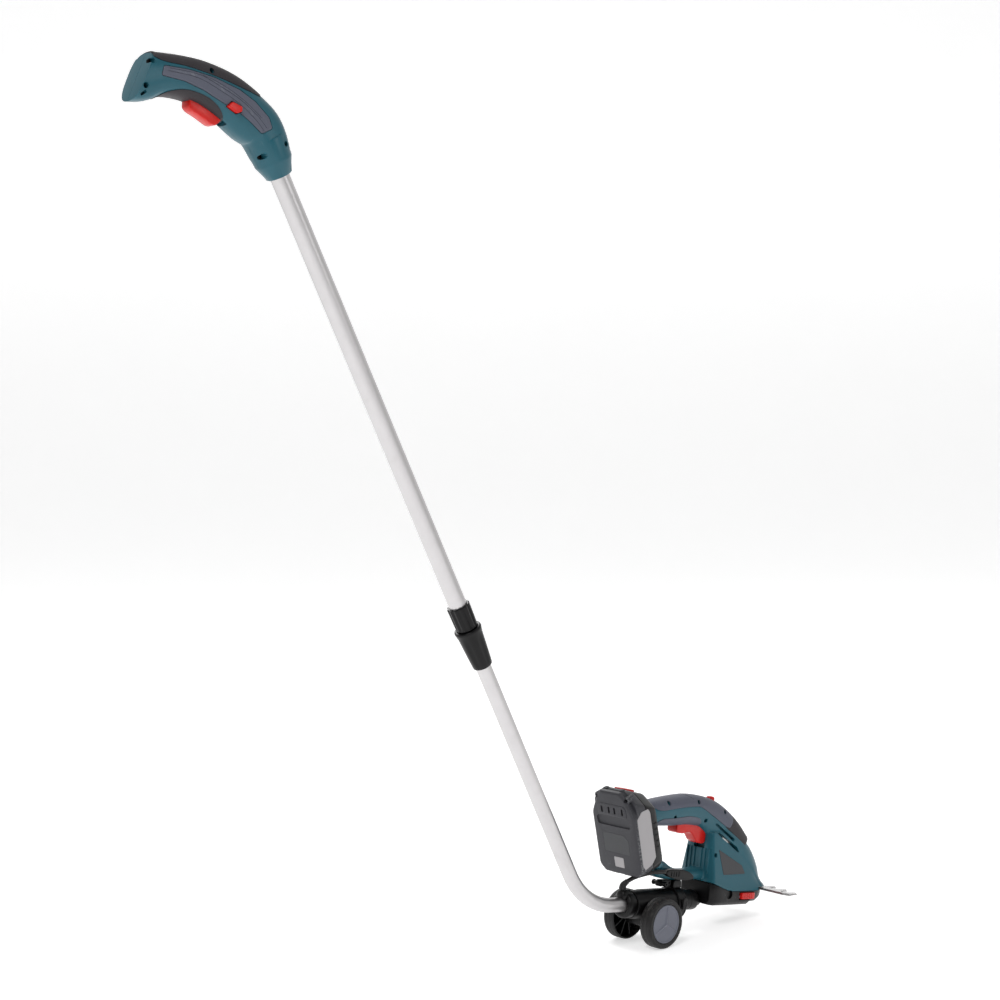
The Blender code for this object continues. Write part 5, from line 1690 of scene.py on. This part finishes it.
@dataclass(frozen=True)
class ShearFoot:
    """Black shoe with its blade locks, the comb blades, the trigger and the lock-off button."""

    sections: tuple[tuple[float, float, float, float], ...] = (
        (100.5, 19.2, 48.4, 25), (104, 18.5, 47.6, 29), (109, 18.3, 46, 31.5), (120, 18.3, 42.2, 32),
        (136, 18.3, 37.9, 31.8), (150, 18.3, 37.7, 31.6), (181, 18.3, 37.7, 31), (183.5, 21.6, 37.7, 31),
        (199, 22.2, 37.7, 29.5), (206, 24.5, 37.7, 27.3), (212, 28, 37.7, 23.5), (216.5, 31.4, 37.7, 20))
    lock: Outline = ((161, 26.8), (187.5, 26.8), (188.3, 27.6), (188.3, 34.6), (187.5, 35.3), (161, 35.3))
    pitch: float = 23.5
    teeth: int = 7
    tip: float = 247.0
    blade_up: float = 38.3
    blade_thick: float = 1.5
    hook: Outline = ((39, 127), (39, 115.5), (42, 113.3), (53, 112.3), (60, 114), (67, 114.6), (73, 111.5),
                     (78, 106), (81, 102.5), (88, 99.3), (97, 98.8), (101, 102), (103, 109), (97, 117.5),
                     (88, 122.5), (80, 125), (60, 127), (50, 128))

    def shoe(self) -> Thing:
        """Lofts the shoe with chamfered lower corners and cuts its recesses."""
        rings = []
        for x, low, high, half in self.sections:
            rise = min(6.0, (high - low) * 0.5)
            ring = [(-half + 5, low), (half - 5, low), (half - 1.3, low + rise * 0.6), (half, low + rise),
                    (half, high), (-half, high), (-half, low + rise), (-half + 1.3, low + rise * 0.6)]
            rings.append([Vector((x, y, z)) * MM for y, z in ring])
        shoe = soften(lofted("shear_shoe", rings), 0.7, segments=3, angle=30)
        combine(shoe, Join.CUT, rod("tongue", 9.4, 60, 106, Axis.X, (0, 0, 18.7)))
        for face in (-1, 1):
            ends = sorted((face * 22.8, face * 40))
            window = rounded([(157, 25.2), (190, 25.2), (190, 36.2), (157, 36.2)], 1.5, 3)
            combine(shoe, Join.CUT, pulled("window", window, ends[0], ends[1], Axis.Y))
            combine(shoe, Join.CUT, rod("arch", 6.0, *sorted((face * 29, face * 40)), Axis.Y, (136, 0, 33.5)))
        for x in (118, 128, 138, 148, 158):
            combine(shoe, Join.CUT, block("skid", (x, -22, 10), (x + 2, 22, 18.9)))
        return shoe

    def locks(self) -> None:
        """Makes the two blade lock buttons and the grey pins beside them."""
        for face, side in SIDES:
            ends = sorted((face * 26.2, face * 34))
            button = soften(pulled(f"lock_button_{side}", self.lock, *ends, Axis.Y), 1.0, segments=3)
            for k in range(4):
                x = 166 + 5 * k
                combine(button, Join.CUT, block("groove", (x, min(face * 33.6, face * 40), 28),
                                                (x + 1, max(face * 33.6, face * 40), 34)))
            fit_out(set_down(button, PLACES.tool), Finish.RED, f"blade_lock_{side[0]}", f"blade_lock_{side}")
            ends = sorted((face * 22.4, face * 30))
            pin = soften(rod(f"lock_pin_{side}", 2.1, *ends, Axis.Y, (159.6, 0, 29.2)), 0.5)
            fit_out(set_down(pin, PLACES.tool), Finish.CAP, "chassis")

    def comb(self, name: str, depth: float, reach: float, tip: float, root: float, tail: float, start: float,
             low: float) -> Thing:
        """Pulls a comb blade from its plan and grinds its edges.

        Args:
            name: Name of the blade.
            depth: Length of its teeth.
            reach: Where its middle tooth ends.
            tip: Half width of a tooth's tip.
            root: Half width of a tooth's root.
            tail: Half width of the part inside the nose.
            start: Where that part starts.
            low: Height of its underside.

        Returns:
            The blade.
        """
        half = self.pitch * (self.teeth - 1) / 2 + root
        plan = [(start, -tail), (203, -tail), (203, -half + 8), (208, -half)]
        for k in range(self.teeth):
            y = self.pitch * (k - (self.teeth - 1) / 2)
            end = reach - 0.0030 * y * y
            plan += [(end - depth, y - root), (end - 2.4, y - tip), (end - 0.7, y - tip * 0.55), (end, y),
                     (end - 0.7, y + tip * 0.55), (end - 2.4, y + tip), (end - depth, y + root)]
        plan += [(208, half), (203, half - 8), (203, tail), (start, tail)]
        blade = pulled(name, plan, low, low + self.blade_thick, Axis.Z)
        grinding = blade.modifiers.new("ground_edge", "BEVEL")
        grinding.width = 0.55 * MM
        grinding.segments = 1
        grinding.limit_method = "ANGLE"
        grinding.angle_limit = math.radians(60)
        return apply_all(blade)

    def blades(self) -> None:
        """Makes the fixed comb and the moving comb above it, with its drive fork."""
        top = self.blade_up + self.blade_thick + 0.3
        fixed = self.comb("comb_fixed", 24, self.tip + 2, 2.6, 7.5, 22, 176, self.blade_up)
        moving = self.comb("comb_moving", 24, self.tip, 1.8, 6.3, 17, 152, top)
        hole = rod("hole", 3.9, 30, 50, Axis.Z, (195, 0, 0))
        combine(fixed, Join.CUT, hole, keep=True)
        combine(moving, Join.CUT, hole, block("fork", (140, -12.4, 39), (182, 12.4, 45)))
        fit_out(set_down(fixed, PLACES.tool), Finish.BLADE, "chassis", "fixed_blade")
        fit_out(set_down(moving, PLACES.tool), Finish.BLADE, "blade", "moving_blade")

    def controls(self) -> None:
        """Makes the shear's trigger and its lock-off button."""
        trigger = soften(pulled("trigger_lever", rounded(self.hook, 1.8, 3), -8.8, 8.8, Axis.Y), 2.2,
                         segments=4,
                         angle=50)
        fit_out(set_down(trigger, PLACES.tool), Finish.RED, "shear_trigger_lever", "shear_trigger")
        profile = [(146, 0), (146, 5.8), (159.6, 5.8), (161.0, 5.2), (161.8, 4.0), (161.6, 2.2), (161.2, 0)]
        button = turned("lock_off_cap", profile, Axis.Z, (112, 0, 0), 48)
        fit_out(set_down(button, PLACES.tool), Finish.RED, "lock_off", "lock_off_button")

    def build(self) -> None:
        """Builds and dresses the foot, and repaints the drive inside."""
        fit_out(set_down(self.shoe(), PLACES.tool), Finish.BLACK, "chassis", "base_shoe")
        self.locks()
        self.blades()
        self.controls()
        repaint(Finish.STEEL, "axle", "motor", "gear_plate", "gear_spindle", "blade_pivot_bolt",
                "motor_pinion",
                "drive_gear")
        repaint(Finish.BLACK, "shear_switch", "battery_rail", "terminal_block")


# ---------------------------------------------------------------- battery

@dataclass(frozen=True)
class Battery:
    """Slide-on battery: grey rear half, black front half, gauge, labels, screws and release."""

    half_width: float = 37.5
    rear: float = -28.5
    split: float = -4.0
    front: float = 18.6
    low: float = 72.0
    gauge_lights: tuple[float, ...] = (17.6, 5.2, -4.8, -18.0)
    label: Outline = ((-22, 102), (22.8, 102), (22.8, 129.5), (-14.6, 129.5), (-22, 122.5))
    square: Outline = ((-8.4, 82.5), (8.4, 82.5), (8.4, 97), (-8.4, 97))
    side_label: Outline = ((-22, 152), (-12.5, 159.5), (0, 159.5), (3, 154), (2.3, 92.4), (-7, 85),
                           (-19.3, 82.8), (-23, 88.4))

    def outline(self, shrink: float, top: float, shoulder: float) -> list[Pair]:
        """The battery's outline from behind, as (across, up).

        Args:
            shrink: How far it lies inside the full outline.
            top: Height of its top.
            shoulder: How far below the top the straight sides end.

        Returns:
            The rounded outline.
        """
        h, b, t = self.half_width - shrink, self.low + shrink, top - shrink
        rise = 7.0 if shoulder > 20 else 6.0
        corners = [(-h, b + 9), (-h + 9, b), (h - 9, b), (h, b + 9), (h, t - shoulder), (h - 12, t - rise),
                   (h - 19, t), (-h + 19, t), (-h + 12, t - rise), (-h, t - shoulder)]
        return rounded(corners, 3.5, 4)

    def shell(self, name: str, steps: Sequence[Triple], shoulder: float = 17.0) -> Thing:
        """Lofts one part of the case from (depth, shrink, top) steps."""
        rings = [[Vector((x, y, z)) * MM for y, z in self.outline(shrink, top, shoulder)]
                 for x, shrink, top in steps]
        return lofted(name, rings)

    def rear_half(self) -> Thing:
        """Makes the grey half with its gauge panel, slots, finger groove and screw ears."""
        r, s = self.rear, self.split
        case = self.shell("pack_rear", ((-20.4, 1.2, 188), (-19.6, 0.3, 188), (-18.6, 0, 188), (-12, 0, 186),
                                        (s - 0.7, 0, 181.8), (s - 0.1, 0.6, 181.5)))
        face = self.shell("face", ((r + 0.6, 3.4, 187), (r + 0.9, 2.3, 187), (r + 1.8, 1.0, 187),
                                   (r + 3.4, 0.1, 187), (-16, 0.05, 187)), 31.0)
        combine(case, Join.ADD, face)
        for y in (-25.6, 25.6):
            ear = turned("ear", [(-25.0, 0), (-25.0, 4.2), (-24.4, 4.9), (-14, 5.2), (-14, 0)], Axis.X,
                         (0, y, 177.5), 40)
            combine(case, Join.ADD, ear)
            combine(case, Join.CUT, rod("well", 2.5, r - 5, -18, Axis.X, (0, y, 177.5)))
        for y in (-13.5, 13.5):
            foot = soften(block("foot", (-21.0, y - 3.4, 180), (-15, y + 3.4, 188.9)), 1.4, segments=3)
            combine(case, Join.ADD, foot)
        panel = rounded([(-25, 153.5), (25, 153.5), (25, 166), (21.5, 170), (-21.5, 170), (-25, 166)], 2.5, 4)
        raised = soften(pulled("panel", panel, r, r + 4, Axis.X), 0.5, segments=2)
        combine(case, Join.ADD, raised)
        for y in self.gauge_lights:
            slot = rounded([(y - 1.6, 157), (y + 1.6, 157), (y + 1.6, 166), (y - 1.6, 166)], 1.4, 3)
            combine(case, Join.CUT, pulled("slot", slot, r - 3, r + 2.8, Axis.X))
        groove = rounded([(-28, 139.5), (28, 139.5), (29.5, 146), (28, 152), (-28, 152), (-29.5, 146)], 3.5,
                         4)
        hollow = soften(pulled("hollow", groove, r - 3, r + 3.2, Axis.X), 0.9, segments=3)
        combine(case, Join.CUT, hollow)
        for outline in (self.label, self.square):
            combine(case, Join.CUT, pulled("seat", rounded(outline, 1.5, 3), r - 3, r + 0.85, Axis.X))
        for y0, y1 in ((-27, -16), (-5, 6), (17, 28)):
            combine(case, Join.CUT, block("foot_step", (r - 2, y0, self.low - 3),
                                          (r + 5, y1, self.low + 1.6)))
        combine(case, Join.CUT, self.release_way())
        return case

    def release_way(self) -> Thing:
        """Makes the cutter for the release button's way."""
        return block("release_way", (-9.4, -9.3, 171), (9.4, 9.3, 200))

    def front_half(self) -> Thing:
        """Makes the black half with its sloping shoulders, side grooves and release seat."""
        s, f = self.split, self.front
        case = self.shell("pack_front", ((s + 0.35, 0.6, 181.3), (s + 0.9, 0, 181), (f - 7, 0, 173.6),
                                         (f - 4, 1.2, 173.2), (f - 1.4, 3.4, 173), (f, 5.4, 173)))
        combine(case, Join.CUT, self.release_way())
        for face in (-1, 1):
            for z in (104, 112, 120, 128, 136):
                low, high = sorted((face * (self.half_width - 0.8), face * 45))
                combine(case, Join.CUT, block("grip_line", (6.5, low, z), (13, high, z + 2.2)))
        return case

    def labels(self) -> None:
        """Makes the plain films on the battery's back and sides."""
        r = self.rear
        films = (("pack_label", self.label, Finish.PLATE), ("pack_square", self.square, Finish.FILM))
        for name, outline, finish in films:
            film = pulled(name, spread(rounded(outline, 1.5, 3), -0.3), r + 0.55, r + 1.3, Axis.X)
            fit_out(set_down(film, PLACES.battery), finish, "battery")
        for face, side in SIDES:
            ends = sorted((face * (self.half_width - 0.3), face * (self.half_width + 0.25)))
            film = pulled(f"pack_sticker_{side}", rounded(self.side_label, 1.6, 4), ends[0], ends[1], Axis.Y)
            node = f"battery_sticker_{side}"
            fit_out(set_down(film, PLACES.battery), Finish.FILM, "battery", node)

    def gauge(self) -> None:
        """Sets four near-black light pipes in the gauge's slots, painted shade of the slots' depth, and
        screws in the ears, near black as painted hole shade.
        """
        r = self.rear
        for k, y in enumerate(self.gauge_lights):
            pipe = rounded([(y - 1.4, 157.2), (y + 1.4, 157.2), (y + 1.4, 165.8), (y - 1.4, 165.8)], 1.2, 3)
            lens = pulled(f"gauge_light_{k + 1}", pipe, r + 1.9, r + 3.2, Axis.X)
            fit_out(set_down(lens, PLACES.battery), Finish.SOCKET, "battery")
        for k, y in enumerate((-25.6, 25.6)):
            head = [(-20.2, 0), (-20.2, 2.0), (-17.6, 2.1), (-17.6, 0)]
            screw = turned(f"pack_screw_{k + 1}", head, Axis.X, (0, y, 177.5), 32)
            combine(screw, Join.CUT, block("cross", (-22, y - 1.5, 177.2), (-19.2, y + 1.5, 177.8)),
                    block("cross", (-22, y - 0.3, 176), (-19.2, y + 0.3, 179)))
            fit_out(set_down(screw, PLACES.battery), Finish.SCREW, "battery")

    def release(self) -> Thing:
        """Makes the sloping release button with its finger ribs."""
        side = [(-8.8, 174.5), (8.8, 174.5), (8.8, 177.6), (7.8, 178.4), (-7.8, 185.6), (-8.8, 185)]
        button = soften(pulled("pack_release", side, -8.8, 8.8, Axis.Y), 0.8, segments=3)
        ribs = [pulled("rib", [(x, 192), (x, z), (x + 0.9, z - 0.4), (x + 0.9, 192)], -7, 7, Axis.Y)
                for x, z in ((-3.4, 182.9), (-0.9, 181.8), (1.6, 180.6))]
        return combine(button, Join.CUT, *ribs)

    def build(self) -> None:
        """Builds and dresses the battery."""
        place = PLACES.battery
        fit_out(set_down(self.rear_half(), place), Finish.PACK, "battery", "battery_rear_case")
        fit_out(set_down(self.front_half(), place), Finish.BLACK, "battery", "battery_front_case")
        fit_out(set_down(self.release(), place), Finish.RED, "release", "battery_release")
        self.labels()
        self.gauge()
        repaint(Finish.CELL, "battery_cells")


# ---------------------------------------------------------------- main


def main() -> None:
    """Builds the studio and every sub-assembly in order."""
    logging.basicConfig(level=logging.INFO, format="%(name)s %(message)s")
    Studio().build()
    ControlLead().build()
    Trolley().build()
    for side, sign in (("right", -1), ("left", 1)):
        Wheel(side, sign).build()
    Pole().build()
    PoleHandle().build()
    ShearBody().build()
    ShearFoot().build()
    Battery().build()


if __name__ == "__main__":
    main()
